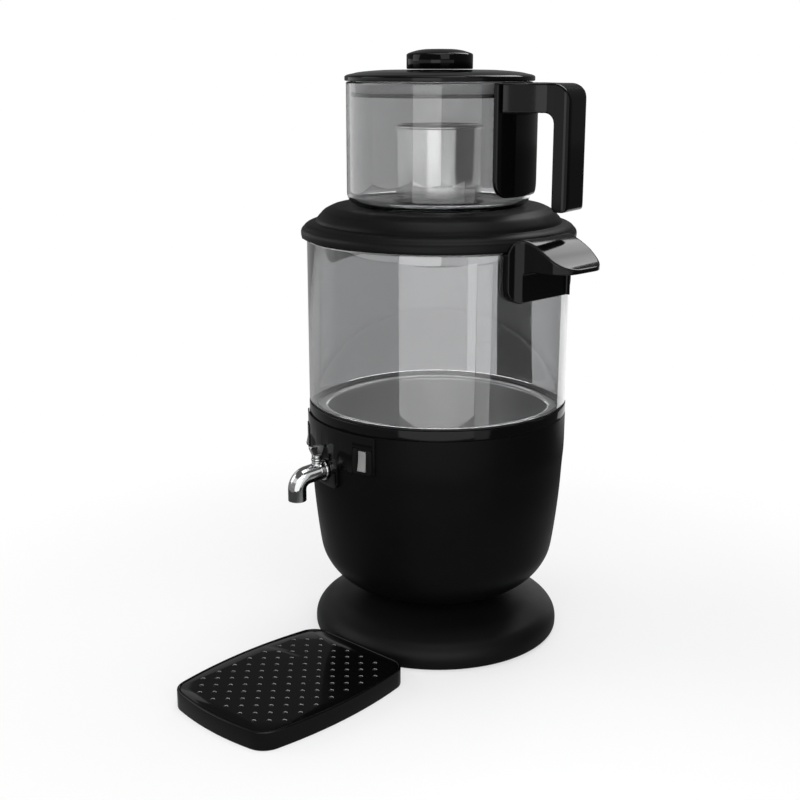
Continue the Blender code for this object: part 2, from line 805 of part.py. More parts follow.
def make_tap_flange():
    face = tap_face()
    flange = cylinder(
        "tap_flange", TAP_FLANGE_RADIUS, (0, TAP_FLANGE_THICKNESS - face, TAP_Z), (0, -face, TAP_Z)
    )
    hole = shank_hole("flange_hole", PANEL_RADIUS - OVERRUN, face + OVERRUN)
    finish(combine(flange, hole, "DIFFERENCE"), "chrome")


def make_tap_body():
    start = tap_start()
    hub = tap_face() + SEAT_GAP
    valve = valve_place()
    path = tap_path()
    body = pipe("tap_body", path, TAP_TUBE_RADIUS, 3)
    combine(
        body,
        cylinder("tap_hub", TAP_TUBE_RADIUS, (0, -hub, TAP_Z), (0, -start - OVERRUN, TAP_Z)),
        "UNION",
    )
    combine(
        body,
        cylinder("tap_shank", TAP_SHANK_RADIUS, (0, -shank_end(), TAP_Z), (0, -start, TAP_Z)),
        "UNION",
    )
    boss_top = TAP_Z + TAP_BOSS_RISE
    boss = cylinder("tap_boss", TAP_BOSS_RADIUS, (*valve, TAP_Z), (*valve, boss_top))
    combine(body, boss, "UNION")
    mouth = (0, path[-1][1], path[-1][2] - OVERRUN)
    bore_path = [(0, OVERRUN - shank_end(), TAP_Z)] + path[:-1] + [mouth]
    combine(body, pipe("tap_bore", bore_path, TAP_BORE_RADIUS, 2), "DIFFERENCE")
    gland = cylinder(
        "spindle_hole",
        SPINDLE_RADIUS + FIT_GAP,
        (*valve, TAP_Z),
        (*valve, boss_top + OVERRUN),
        SMALL_STEPS // 2,
    )
    finish(combine(body, gland, "DIFFERENCE"), "chrome")


def make_tap_valve():
    """The bonnet nut, the spindle with its plug in the bore, and the fan-shaped lever on top."""
    valve = valve_place()
    bonnet_bottom = TAP_Z + TAP_BOSS_RISE + SEAT_GAP
    bonnet_top = bonnet_bottom + BONNET_HEIGHT
    hub_bottom = bonnet_top + SEAT_GAP
    hub_top = hub_bottom + LEVER_HUB_HEIGHT
    spindle_top = hub_bottom + SPINDLE_GRIP
    plug_top = TAP_Z + PLUG_HEIGHT / 2
    bonnet = ring(
        "tap_bonnet", SPINDLE_RADIUS + FIT_GAP, BONNET_RADIUS, bonnet_bottom, bonnet_top, SMALL_STEPS
    )
    bonnet.location = (*valve, 0)
    finish(bonnet, "chrome")
    spindle = turned(
        "tap_spindle",
        [
            (0, spindle_top),
            (SPINDLE_RADIUS, spindle_top),
            (SPINDLE_RADIUS, plug_top),
            (PLUG_RADIUS, plug_top),
            (PLUG_RADIUS, plug_top - PLUG_HEIGHT),
            (0, plug_top - PLUG_HEIGHT),
        ],
        SMALL_STEPS // 2,
    )
    spindle.location = (*valve, 0)
    finish(spindle, "steel")
    lever = turned(
        "tap_lever",
        [(0, hub_top), (LEVER_HUB_RADIUS, hub_top), (LEVER_HUB_RADIUS, hub_bottom), (0, hub_bottom)],
        SMALL_STEPS,
    )
    top = hub_top + LEVER_FIN_HEIGHT
    flare = (LEVER_WIDTH - LEVER_THICKNESS) / 2
    root = LEVER_HUB_RADIUS - LEVER_THICKNESS / 2
    crown = top - LEVER_THICKNESS / 2
    waist = hub_bottom + LEVER_THICKNESS
    core = [(-root, waist), (root, waist), (flare, crown), (-flare, crown)]
    fin = side_prism("fin", rounded(core, LEVER_THICKNESS / 2), LEVER_THICKNESS / 2)
    combine(lever, fin, "UNION")
    socket = cylinder(
        "socket",
        SPINDLE_RADIUS + SEAT_GAP,
        (0, 0, hub_bottom - OVERRUN),
        (0, 0, spindle_top + SEAT_GAP),
        SMALL_STEPS // 2,
    )
    combine(lever, socket, "DIFFERENCE")
    lever.location = (*valve, 0)
    finish(lever, "chrome")


def make_tap_clamp():
    """The washer and the nut that pull the shank tight inside the bowl."""
    face = tap_inside_face()
    back = face - TAP_WASHER_THICKNESS
    washer = cylinder("tap_washer", TAP_WASHER_RADIUS, (0, -back, TAP_Z), (0, -face, TAP_Z))
    combine(washer, shank_hole("washer_hole", back - OVERRUN, face + OVERRUN), "DIFFERENCE")
    finish(washer, "rubber")
    nut_face = back - SEAT_GAP
    nut_back = nut_face - TAP_NUT_THICKNESS
    across_corners = TAP_NUT_WIDTH / math.cos(math.radians(30))
    nut = cylinder("tap_nut", across_corners / 2, (0, -nut_back, TAP_Z), (0, -nut_face, TAP_Z), 6)
    combine(nut, shank_hole("nut_hole", nut_back - OVERRUN, nut_face + OVERRUN), "DIFFERENCE")
    finish(nut, "chrome")


# Collar: the lift-off ring on the tank, with a seat for the teapot and an opening for the steam

COLLAR_OUTSIDE_SHARES = (
    (0.500, 1.0), (0.550, 0.953), (0.648, 0.837), (0.761, 0.581), (0.772, 0.502), (0.891, 0.442),
    (0.957, 0.326), (1.0, 0.209), (1.0, 0.093), (0.983, 0.0),
)
COLLAR_INSIDE_SHARES = ((1.0, 0.225), (0.966, 0.330), (0.895, 0.480), (0.784, 0.670))


def collar_points(edge, shares):
    """Points between the steam opening and an edge radius, and between the collar's lip and its seat."""
    width = edge - COLLAR_HOLE
    return [(COLLAR_HOLE + width * r, COLLAR_BOTTOM + COLLAR_HEIGHT * z) for r, z in shares]


def make_collar():
    skirt_outer = TANK_RADIUS - TANK_WALL - COLLAR_SKIRT_GAP
    skirt_inner = skirt_outer - COLLAR_SKIRT_WALL
    skirt_bottom = COLLAR_BOTTOM - COLLAR_SKIRT
    groove_outer = TANK_RADIUS + FIT_GAP
    groove_inner = TANK_RADIUS - TANK_WALL - FIT_GAP
    groove_roof = COLLAR_GASKET_BOTTOM + GASKET_THICKNESS + SEAT_GAP
    outside = collar_points(COLLAR_RADIUS, COLLAR_OUTSIDE_SHARES)
    inside = collar_points(skirt_inner, COLLAR_INSIDE_SHARES)
    seat_underside = COLLAR_TOP - COLLAR_WALL
    collar = turned(
        "collar",
        [
            (COLLAR_HOLE, COLLAR_TOP),
            *outside,
            (groove_outer, COLLAR_BOTTOM),
            (groove_outer, groove_roof),
            (groove_inner, groove_roof),
            (groove_inner, COLLAR_BOTTOM),
            (skirt_outer, COLLAR_BOTTOM),
            (skirt_outer, skirt_bottom),
            (skirt_inner, skirt_bottom),
            *inside,
            (inside[-1][0] - COLLAR_WALL, seat_underside),
            (COLLAR_HOLE, seat_underside),
        ],
    )
    finish(collar, "satin_black")
    gasket = ring(
        "collar_gasket",
        TANK_RADIUS - TANK_WALL,
        TANK_RADIUS,
        COLLAR_GASKET_BOTTOM,
        COLLAR_GASKET_BOTTOM + GASKET_THICKNESS,
    )
    finish(gasket, "rubber")


# Side handles: a hood that reaches out under the collar's lip, with a pocket for the fingers below it

HOOD_SHARES = (
    (-0.32, -0.244), (0.03, -0.244), (0.16, -0.205), (0.32, -0.130), (0.51, -0.010), (0.65, 0.095),
    (0.80, 0.190), (0.90, 0.237), (0.97, 0.266), (1.0, 0.310), (0.975, 0.345), (0.90, 0.360),
    (0.26, 0.365), (0.13, 0.385), (0.075, 0.435), (0.055, 0.540), (0.055, 1.0), (-0.32, 1.0),
)
POCKET_ROOF_SHARE = 0.40
HOOD_WAIST_SHARE = 0.26
HOOD_FLANK_SHARES = (1.0, 0.93, 0.86)
HOOD_FLARE_SHARES = ((0.45, 0.25), (0.15, 0.6))


def handle_point(out, drop):
    top = COLLAR_BOTTOM - SEAT_GAP
    return COLLAR_RADIUS + HANDLE_REACH * out, top - HANDLE_SKIRT_HEIGHT * drop


def hood_plan():
    """Seen from above: round the glass at the sides, drawn in to the grip, round at the tip."""
    half = HANDLE_WIDTH / 2
    half_skirt = HANDLE_SKIRT_WIDTH / 2
    skin = COLLAR_RADIUS + HANDLE_SKIN
    waist = COLLAR_RADIUS + HANDLE_REACH * HOOD_WAIST_SHARE
    tip = COLLAR_RADIUS + HANDLE_REACH
    corner = HANDLE_TIP_CORNER
    flank = [half_skirt * share for share in HOOD_FLANK_SHARES]
    skirt = [(x, -math.sqrt(skin**2 - x**2)) for x in flank]
    side, front = skirt[-1]
    flare = [
        (half + (side - half) * across, front - (waist + front) * out)
        for across, out in HOOD_FLARE_SHARES
    ]
    right = (
        [(half_skirt, -COLLAR_RADIUS / 2), *skirt, *flare, (half, -waist)]
        + arc((half - corner, corner - tip), corner, 0, -90)
    )
    return right + [(-x, y) for x, y in right[::-1]]


def hood_front():
    """Seen from the front: a plate with four round corners."""
    half = HANDLE_SKIRT_WIDTH / 2
    corner = HANDLE_CORNER
    bottom = handle_point(0, 1)[1]
    top = handle_point(0, 0)[1] + HANDLE_RISE
    right = arc((half - corner, bottom + corner), corner, -90, 0) + arc(
        (half - corner, top - corner), corner, 0, 90
    )
    return right + [(-x, z) for x, z in right[::-1]]


def make_side_handle(name, angle):
    """The hood, hollowed for the glass, for the collar's lip and for the fingers."""
    top = handle_point(0, 0)[1]
    bottom = handle_point(0, 1)[1]
    hood = side_prism(name, [handle_point(*point) for point in HOOD_SHARES], HANDLE_SKIRT_WIDTH / 2)
    combine(hood, plan_prism("hood_plan", hood_plan(), bottom - OVERRUN, COLLAR_TOP), "INTERSECT")
    reach = COLLAR_RADIUS + HANDLE_REACH + OVERRUN
    combine(hood, front_prism("hood_front", hood_front(), 0, reach), "INTERSECT")
    back = TANK_RADIUS + HANDLE_GLASS_GAP
    glass = disc("glass", back, bottom - OVERRUN, COLLAR_TOP, LARGE_STEPS + SMALL_STEPS)
    combine(hood, glass, "DIFFERENCE")
    lip = disc("lip", COLLAR_RADIUS + FIT_GAP, top, COLLAR_TOP, LARGE_STEPS + SMALL_STEPS)
    combine(hood, lip, "DIFFERENCE")
    wall = back + HANDLE_SKIRT_WALL
    roof = handle_point(0, POCKET_ROOF_SHARE)[1]
    outline = [(wall, bottom - OVERRUN), (wall, roof), (reach, roof), (reach, bottom - OVERRUN)]
    combine(hood, side_prism("pocket", outline, HANDLE_POCKET_WIDTH / 2), "DIFFERENCE")
    turn_about_axis(hood, angle)
    finish(hood, "gloss_black")


# Teapot: a straight glass with a small pouring lip, and a hook-shaped handle

LIP_STEPS_SHARES = (0.84, 1.0)


def pull_lip(obj):
    """Draws the rim out to a lip on the side away from the handle."""
    away = Vector((math.sin(TEAPOT_TURN + math.pi), -math.cos(TEAPOT_TURN + math.pi), 0))
    start = TEAPOT_TOP - LIP_HEIGHT
    for vert in obj.data.vertices:
        flat = Vector((vert.co.x, vert.co.y, 0))
        if vert.co.z <= start or flat.length < TEAPOT_RADIUS / 2:
            continue
        angle = flat.angle(away)
        if angle < LIP_HALF_ANGLE:
            rise = (vert.co.z - start) / LIP_HEIGHT
            pull = math.cos(angle / LIP_HALF_ANGLE * math.pi / 2) ** 2
            vert.co += away * LIP_REACH * pull * rise**2


def make_teapot_glass():
    corner = (TEAPOT_RADIUS - TEAPOT_CORNER, TEAPOT_BOTTOM + TEAPOT_CORNER)
    levels = [TEAPOT_BOTTOM + TEAPOT_HEIGHT * share for share in LIP_STEPS_SHARES]
    inner = TEAPOT_RADIUS - TEAPOT_WALL
    glass = turned(
        "teapot_glass",
        [(0, TEAPOT_BOTTOM)]
        + arc(corner, TEAPOT_CORNER, -90, 0, TEAPOT_CORNER_STEPS)
        + [(TEAPOT_RADIUS, level) for level in levels]
        + [(inner, level) for level in levels[::-1]]
        + arc(corner, TEAPOT_CORNER - TEAPOT_WALL, 0, -90, TEAPOT_CORNER_STEPS)
        + [(0, TEAPOT_BOTTOM + TEAPOT_WALL)],
    )
    pull_lip(glass)
    finish(glass, "glass")


def make_teapot_handle():
    """A curved plate on the glass, a bridge at the rim and a grip that hangs free."""
    glass = TEAPOT_RADIUS + HANDLE_GLASS_GAP
    skin = glass + HANDLE_PLATE_THICKNESS
    top = TEAPOT_TOP - SEAT_GAP
    half = HANDLE_PLATE_WIDTH / 2
    corner = HANDLE_CORNER
    plate_bottom = top - HANDLE_PLATE_HEIGHT
    plate = ring("teapot_handle", glass, skin, plate_bottom, top)
    right = arc((half - corner, plate_bottom + corner), corner, -90, 0) + [(half, top + OVERRUN)]
    front = right + [(-x, z) for x, z in right[::-1]]
    combine(plate, front_prism("plate_front", front, 0, skin + OVERRUN), "INTERSECT")
    palm = GRIP_RADIUS
    finger = palm - GRIP_THICKNESS
    underside = top - BRIDGE_HEIGHT
    bottom = top - GRIP_DROP
    tip = GRIP_THICKNESS / 3
    bend = GRIP_CORNER / 2
    side = (
        [(glass, top)]
        + arc((palm - GRIP_CORNER, top - GRIP_CORNER), GRIP_CORNER, 90, 0)
        + arc((palm - tip, bottom + tip), tip, 0, -90, 2)
        + arc((finger + tip, bottom + tip), tip, -90, -180, 2)
        + arc((finger - bend, underside - bend), bend, 0, 90, 3)
        + [(skin - OVERRUN, underside), (glass, underside)]
    )
    half_grip = GRIP_WIDTH / 2
    plan = [
        (half, -glass * math.cos(half / glass)),
        (half, -glass),
        ((half + half_grip) / 2, -skin - (finger - skin) / 3),
        (half_grip, -finger),
        (half_grip, -palm + tip),
        (half_grip - tip, -palm),
    ]
    plan += [(-x, y) for x, y in plan[::-1]]
    hook = side_prism("hook", side, half)
    combine(hook, plan_prism("hook_plan", plan, bottom - OVERRUN, top + OVERRUN), "INTERSECT")
    combine(hook, disc("glass", glass, bottom - OVERRUN, top + OVERRUN), "DIFFERENCE")
    combine(plate, hook, "UNION")
    turn_about_axis(plate, TEAPOT_TURN)
    finish(plate, "gloss_black")


# Lid: a domed disc over the rim, a clear skirt with a seal inside the glass, and a knob

LID_CROWN_SHARES = ((0.45, 0.98), (0.80, 0.65), (0.955, 0.18))


def make_lid():
    edge = LID_BOTTOM + LID_EDGE
    bevel = LID_EDGE / 4
    groove_outer = LID_SKIRT_RADIUS + SEAT_GAP
    groove_inner = LID_SKIRT_RADIUS - LID_SKIRT_WALL - SEAT_GAP
    roof = LID_BOTTOM + LID_GROOVE
    crown = [(LID_RADIUS * r, edge + LID_CROWN * z) for r, z in LID_CROWN_SHARES]
    disc_profile = [
        (0, LID_TOP),
        *crown,
        (LID_RADIUS, edge - bevel),
        (LID_RADIUS, LID_BOTTOM + bevel),
        (LID_RADIUS - bevel, LID_BOTTOM),
        (groove_outer, LID_BOTTOM),
        (groove_outer, roof),
        (groove_inner, roof),
        (groove_inner, LID_BOTTOM),
        (0, LID_BOTTOM),
    ]
    finish(turned("lid_disc", disc_profile), "gloss_black")
    skirt_top = roof - SEAT_GAP
    skirt_bottom = LID_BOTTOM - LID_SKIRT_HEIGHT
    skirt_inner = LID_SKIRT_RADIUS - LID_SKIRT_WALL
    skirt = ring("lid_skirt", skirt_inner, LID_SKIRT_RADIUS, skirt_bottom, skirt_top)
    finish(skirt, "glass")
    seal_outer = TEAPOT_RADIUS - TEAPOT_WALL - LID_GASKET_GAP
    seal_top = skirt_bottom + LID_GASKET_HEIGHT
    seal = ring("lid_gasket", groove_outer, seal_outer, skirt_bottom, seal_top)
    finish(seal, "rubber")


KNOB_SHARES = ((0.45, 0.93), (0.80, 0.50), (0.965, 0.12), (1.0, 0.0))


def make_knob():
    bottom = LID_TOP + SEAT_GAP
    shoulder = bottom + KNOB_HEIGHT
    dome = [(KNOB_RADIUS * r, shoulder + KNOB_DOME * z) for r, z in KNOB_SHARES]
    profile = [(0, shoulder + KNOB_DOME), *dome, (KNOB_RADIUS, bottom), (0, bottom)]
    finish(turned("lid_knob", profile, MEDIUM_STEPS), "gloss_black")


# Infuser: a steel cup with a rolled rim, on a clear stand on the teapot's floor

def make_infuser():
    floor = TEAPOT_BOTTOM + TEAPOT_WALL + SEAT_GAP
    stand_top = floor + INFUSER_STAND
    stand_wall = INFUSER_STAND_FLARE / 2
    stand = turned(
        "infuser_foot",
        [
            (INFUSER_FOOT_RADIUS + stand_wall, floor),
            (INFUSER_FOOT_RADIUS, stand_top),
            (INFUSER_FOOT_RADIUS - INFUSER_STAND_FLARE, stand_top),
            (INFUSER_FOOT_RADIUS - stand_wall, floor),
        ],
        MEDIUM_STEPS,
    )
    finish(stand, "glass")
    bottom = stand_top + SEAT_GAP
    top = bottom + INFUSER_HEIGHT
    wall = INFUSER_WALL
    rim = INFUSER_RIM
    cup = turned(
        "infuser_cup",
        [
            (0, bottom),
            (INFUSER_FOOT_RADIUS - rim, bottom),
            (INFUSER_FOOT_RADIUS, bottom + rim),
            (INFUSER_TOP_RADIUS, top - rim),
            (INFUSER_TOP_RADIUS + rim, top - rim / 2),
            (INFUSER_TOP_RADIUS + rim / 2, top),
            (INFUSER_TOP_RADIUS - wall, top - rim / 2),
            (INFUSER_FOOT_RADIUS - wall, bottom + rim + wall),
            (INFUSER_FOOT_RADIUS - wall - rim, bottom + wall),
            (0, bottom + wall),
        ],
        MEDIUM_STEPS,
    )
    finish(cup, "steel")


# Drip tray: a shallow pan with a straight back against the foot and a pierced plate on its ledge

def tray_core():
    """The tray's outline drawn in by its corner radius: a straight back, and bowed sides and front."""
    half = TRAY_END_WIDTH / 2 - TRAY_CORNER
    back = FOOT_RADIUS + TRAY_GAP + TRAY_CORNER
    front = FOOT_RADIUS + TRAY_GAP + TRAY_LENGTH - TRAY_CORNER - TRAY_FRONT_BULGE
    shares = [i / 5 for i in range(6)]
    right = []
    for share in shares[::-1]:
        bow = TRAY_SIDE_BULGE * (1 - (2 * share - 1) ** 2)
        right.append((half + bow, -(back + (front - back) * share)))
    left = [(-x, y) for x, y in right[::-1]]
    across = []
    for share in shares[1:-1]:
        bow = TRAY_FRONT_BULGE * (1 - (2 * share - 1) ** 2)
        across.append((half * (2 * share - 1), -(front + bow)))
    return [(x + TRAY_SHIFT, y) for x, y in right + left + across]


def tray_loop(inward, height):
    outline = rounded(tray_core(), TRAY_CORNER - inward)
    return [(x, y, height) for x, y in outline]


def tray_levels():
    """The tray's underside, its ledge for the plate, and its rim."""
    rim = FLOOR_Z + TRAY_HEIGHT
    return FLOOR_Z, rim - GRILLE_THICKNESS - SEAT_GAP - TRAY_PLATE_DROP, rim


def make_tray():
    bottom, ledge, rim = tray_levels()
    bevel = TRAY_WALL / 2
    tray = lofted(
        "drip_tray",
        [
            tray_loop(bevel, bottom),
            tray_loop(0, bottom + bevel),
            tray_loop(0, rim - bevel),
            tray_loop(bevel, rim),
            tray_loop(TRAY_WALL, rim),
            tray_loop(TRAY_WALL, ledge),
            tray_loop(TRAY_WALL + TRAY_LEDGE, ledge),
            tray_loop(TRAY_WALL + TRAY_LEDGE, bottom + TRAY_FLOOR),
        ],
    )
    finish(turn_about_axis(tray, TRAY_TURN), "gloss_black")


def grille_hole_places():
    """Crossing rows of holes, each row half a step along from the last, kept inside the margin."""
    outline = [Vector(point) for point in rounded(tray_core(), TRAY_CORNER - GRILLE_MARGIN)]
    step = GRILLE_PITCH / math.sqrt(2)
    middle = FOOT_RADIUS + TRAY_GAP + TRAY_LENGTH / 2
    reach = math.ceil(TRAY_LENGTH / 2 / step)
    places = []
    for i in range(-reach, reach + 1):
        for j in range(-reach, reach + 1):
            place = Vector((TRAY_SHIFT + i * step, -middle + j * step))
            edges = zip(outline, outline[1:] + outline[:1])
            inside = all((b - a).cross(place - a) > 0 for a, b in edges)
            if (i + j) % 2 == 0 and inside:
                places.append(place)
    return places


def make_grille():
    ledge = tray_levels()[1]
    bottom = ledge + SEAT_GAP
    top = bottom + GRILLE_THICKNESS
    inward = TRAY_WALL + FIT_GAP
    grille = lofted("drip_grille", [tray_loop(inward, bottom), tray_loop(inward, top)])
    holes = bmesh.new()
    for place in grille_hole_places():
        bmesh.ops.create_cone(
            holes,
            cap_ends=True,
            segments=GRILLE_HOLE_SIDES,
            radius1=GRILLE_HOLE / 2,
            radius2=GRILLE_HOLE / 2,
            depth=GRILLE_THICKNESS + 2 * OVERRUN,
            matrix=Matrix.Translation((*place, (bottom + top) / 2)),
        )
    combine(grille, to_object("grille_holes", holes), "DIFFERENCE")
    finish(turn_about_axis(grille, TRAY_TURN), "gloss_black")


make_foot()
make_base_cover()
make_foot_pads()
make_cord_gland()
make_body()
make_band()
make_bowl()
make_element()
make_thermostat()
make_tank()
make_panel()
for side, turn in (("right", SWITCH_ANGLE), ("left", -SWITCH_ANGLE)):
    make_switch_frame("switch_frame_" + side, turn)
    make_rocker("rocker_" + side, turn)
make_tap_flange()
make_tap_body()
make_tap_valve()
make_tap_clamp()
make_collar()
make_side_handle("side_handle_near", COLLAR_TURN)
make_side_handle("side_handle_far", COLLAR_TURN - math.pi)
make_teapot_glass()
make_teapot_handle()
make_lid()
make_knob()
make_infuser()
make_tray()
make_grille()
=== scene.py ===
import math

import bmesh
import bpy
from mathutils import Matrix, Vector


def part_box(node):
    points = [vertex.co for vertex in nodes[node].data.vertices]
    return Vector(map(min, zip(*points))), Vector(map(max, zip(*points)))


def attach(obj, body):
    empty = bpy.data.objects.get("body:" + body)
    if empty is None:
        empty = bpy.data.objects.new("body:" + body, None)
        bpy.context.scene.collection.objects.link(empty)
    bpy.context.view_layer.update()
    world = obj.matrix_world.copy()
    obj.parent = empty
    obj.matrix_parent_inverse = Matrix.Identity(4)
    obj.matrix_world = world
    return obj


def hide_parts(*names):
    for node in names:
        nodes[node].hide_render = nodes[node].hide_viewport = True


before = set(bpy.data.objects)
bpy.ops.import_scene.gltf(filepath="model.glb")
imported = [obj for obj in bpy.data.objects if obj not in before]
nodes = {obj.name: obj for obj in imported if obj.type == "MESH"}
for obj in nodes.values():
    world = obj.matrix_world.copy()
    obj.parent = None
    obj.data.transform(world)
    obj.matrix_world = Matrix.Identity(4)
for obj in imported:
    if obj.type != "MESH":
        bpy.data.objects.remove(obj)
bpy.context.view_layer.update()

# Camera
# The object is seen from a little above, and from its own right front, with the tap to the left.

CAMERA_TURN = math.radians(58)
CAMERA_DIP = 0.2591
CAMERA_PLACE = (0.7559, -0.5047, 0.4143)
CAMERA_LENS = 57.21
CAMERA_SENSOR = 36

scene = bpy.context.scene


def to_scene(name, data):
    """A new object in the scene that shows this data."""
    obj = bpy.data.objects.new(name, data)
    scene.collection.objects.link(obj)
    return obj


camera_data = bpy.data.cameras.new("camera")
camera_data.lens = CAMERA_LENS
camera_data.sensor_width = CAMERA_SENSOR
camera = to_scene("camera", camera_data)
camera.location = CAMERA_PLACE
camera.rotation_euler = (math.pi / 2 - CAMERA_DIP, 0, CAMERA_TURN)
scene.camera = camera
scene.view_settings.view_transform = "Standard"


# Floor and light
# A pale tabletop that runs out into a pale studio wall, lit by broad soft boxes.

TABLE_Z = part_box("foot_pad_1")[0].z - 0.0002
TABLE_RADIUS = 6
WHITE = (1, 1, 1, 1)
GLOSS_SHARE = 0.08
WALL_LIGHT = 0.08
BOARD_COLOUR = (0.36, 0.36, 0.36, 1)
BOARD_GLOW = 0.60
FADE_START = 0.20
FADE_END = 0.46


def add_node(tree, kind, values=None, **settings):
    """A new node with these settings and input values."""
    made = tree.nodes.new(kind)
    for name, value in settings.items():
        setattr(made, name, value)
    for name, value in (values or {}).items():
        made.inputs[name].default_value = value
    return made


def wire(tree, *links):
    """Makes each link, given as a node, its output, the next node and its input."""
    for giver, output, taker, entry in links:
        tree.links.new(giver.outputs[output], taker.inputs[entry])


def new_finish(name, values):
    """A new material with these shader values, its node tree and its shader."""
    made = bpy.data.materials.new(name)
    made.use_nodes = True
    shader = made.node_tree.nodes["Principled BSDF"]
    for entry, value in values.items():
        shader.inputs[entry].default_value = value
    return made, made.node_tree, shader


def pale_to_eye(tree):
    """1 where the eye looks straight or through glass, and a small share in polished surfaces."""
    rays = add_node(tree, "ShaderNodeLightPath")
    straight = add_node(tree, "ShaderNodeMath", operation="MAXIMUM")
    gloss = add_node(tree, "ShaderNodeMath", {1: GLOSS_SHARE}, operation="MULTIPLY")
    either = add_node(tree, "ShaderNodeMath", operation="MAXIMUM")
    wire(
        tree,
        (rays, "Is Camera Ray", straight, 0),
        (rays, "Is Transmission Ray", straight, 1),
        (rays, "Is Glossy Ray", gloss, 0),
        (straight, 0, either, 0),
        (gloss, 0, either, 1),
    )
    return either


def pale_board():
    """Matt board that takes the object's shadow, and fades into the studio wall further out."""
    made, tree, shader = new_finish(
        "pale_board", {"Base Color": BOARD_COLOUR, "Roughness": 0.8, "Specular IOR Level": 0.1}
    )
    seen = pale_to_eye(tree)
    near = add_node(tree, "ShaderNodeMath", {1: BOARD_GLOW}, operation="MULTIPLY")
    glow = add_node(tree, "ShaderNodeEmission", {"Color": WHITE})
    lit = add_node(tree, "ShaderNodeAddShader")
    far = add_node(tree, "ShaderNodeEmission", {"Color": WHITE})
    place = add_node(tree, "ShaderNodeTexCoord")
    distance = add_node(tree, "ShaderNodeVectorMath", operation="LENGTH")
    fade = add_node(
        tree, "ShaderNodeMapRange", {"From Min": FADE_START, "From Max": FADE_END},
        interpolation_type="SMOOTHSTEP",
    )
    mix = add_node(tree, "ShaderNodeMixShader")
    wire(
        tree,
        (seen, 0, near, 0),
        (near, 0, glow, "Strength"),
        (shader, "BSDF", lit, 0),
        (glow, "Emission", lit, 1),
        (seen, 0, far, "Strength"),
        (place, "Object", distance, 0),
        (distance, "Value", fade, "Value"),
        (fade, "Result", mix, "Fac"),
        (lit, "Shader", mix, 1),
        (far, "Emission", mix, 2),
        (mix, "Shader", tree.nodes["Material Output"], "Surface"),
    )
    return made


def to_object(name, bm):
    """An object in the scene from a bmesh."""
    mesh = bpy.data.meshes.new(name)
    bm.to_mesh(mesh)
    bm.free()
    return to_scene(name, mesh)


table = bmesh.new()
bmesh.ops.create_circle(table, cap_ends=True, radius=TABLE_RADIUS, segments=96)
bmesh.ops.translate(table, verts=table.verts, vec=(0, 0, TABLE_Z))
tabletop = to_object("tabletop", table)
tabletop.data.materials.append(pale_board())

world = bpy.data.worlds.new("studio")
scene.world = world
world.use_nodes = True
sky = world.node_tree
wall = sky.nodes["Background"]
wall.inputs["Color"].default_value = WHITE
dim = add_node(sky, "ShaderNodeBackground", {"Color": WHITE, "Strength": WALL_LIGHT})
blend = add_node(sky, "ShaderNodeMixShader")
wire(
    sky,
    (pale_to_eye(sky), 0, blend, "Fac"),
    (dim, "Background", blend, 1),
    (wall, "Background", blend, 2),
    (blend, "Shader", sky.nodes["World Output"], "Surface"),
)


def soft_box(name, turn, out, height, aim, width, tall, power):
    """A rectangular lamp this far out, at a turn from the tap's side, that faces the middle."""
    data = bpy.data.lights.new(name, "AREA")
    data.shape = "RECTANGLE"
    data.size = width
    data.size_y = tall
    data.energy = power
    lamp = to_scene(name, data)
    turn = math.radians(turn)
    lamp.location = (out * math.sin(turn), -out * math.cos(turn), height)
    facing = Vector((0, 0, aim)) - lamp.location
    lamp.rotation_euler = facing.to_track_quat("-Z", "Y").to_euler()
    lamp.visible_camera = False


soft_box("front_box", 56, 0.50, 0.133, 0.133, 0.585, 0.260, 0.85)
soft_box("front_right_box", 92.4, 0.50, 0.133, 0.133, 0.106, 0.260, 0.09)
soft_box("left_box", -1.3, 0.50, 0.133, 0.133, 0.51, 0.260, 0.10)
soft_box("far_left_box", -55.3, 0.50, 0.133, 0.133, 0.51, 0.260, 0.10)
soft_box("side_box", -109.3, 0.50, 0.133, 0.133, 0.51, 0.260, 0.10)
soft_box("back_box", 208, 0.55, 0.133, 0.133, 0.50, 0.260, 0.39)
soft_box("rim_box", 236, 0.30, 0.245, 0.245, 0.19, 0.054, 0.25)
soft_box("upper_front_box", 42.5, 0.50, 0.360, 0.360, 0.29, 0.190, 0.52)
soft_box("upper_right_box", 82, 0.50, 0.360, 0.360, 0.43, 0.190, 0.25)
soft_box("upper_left_box", -1, 0.50, 0.360, 0.360, 0.51, 0.190, 0.32)
soft_box("upper_side_box", -55, 0.50, 0.360, 0.360, 0.51, 0.190, 0.26)
soft_box("high_left_box", -35, 1.60, 0.90, 0.26, 0.90, 1.00, 5)
soft_box("high_front_box", 75, 1.60, 1.10, 0.26, 0.90, 0.90, 5)
soft_box("high_back_box", 203, 1.05, 1.30, 0.26, 0.80, 0.55, 6)
soft_box("top_box", 90, 0.14, 1.60, 0.26, 1.00, 1.00, 9)


# Dark card
# A black card hung behind the object, as a studio does for glass. It shows only through the glass,
# as the dark band on the right of the tank.

CARD_PLACE = Vector((-0.832, 0.555, 0)) * 0.35
CARD_ACROSS = Vector((math.cos(CAMERA_TURN), math.sin(CAMERA_TURN), 0))
CARD_SIDES = (0.066, 0.110)
CARD_LEVELS = (0.06, 0.24)
CARD_BLACK = (0.01, 0.01, 0.01, 1)

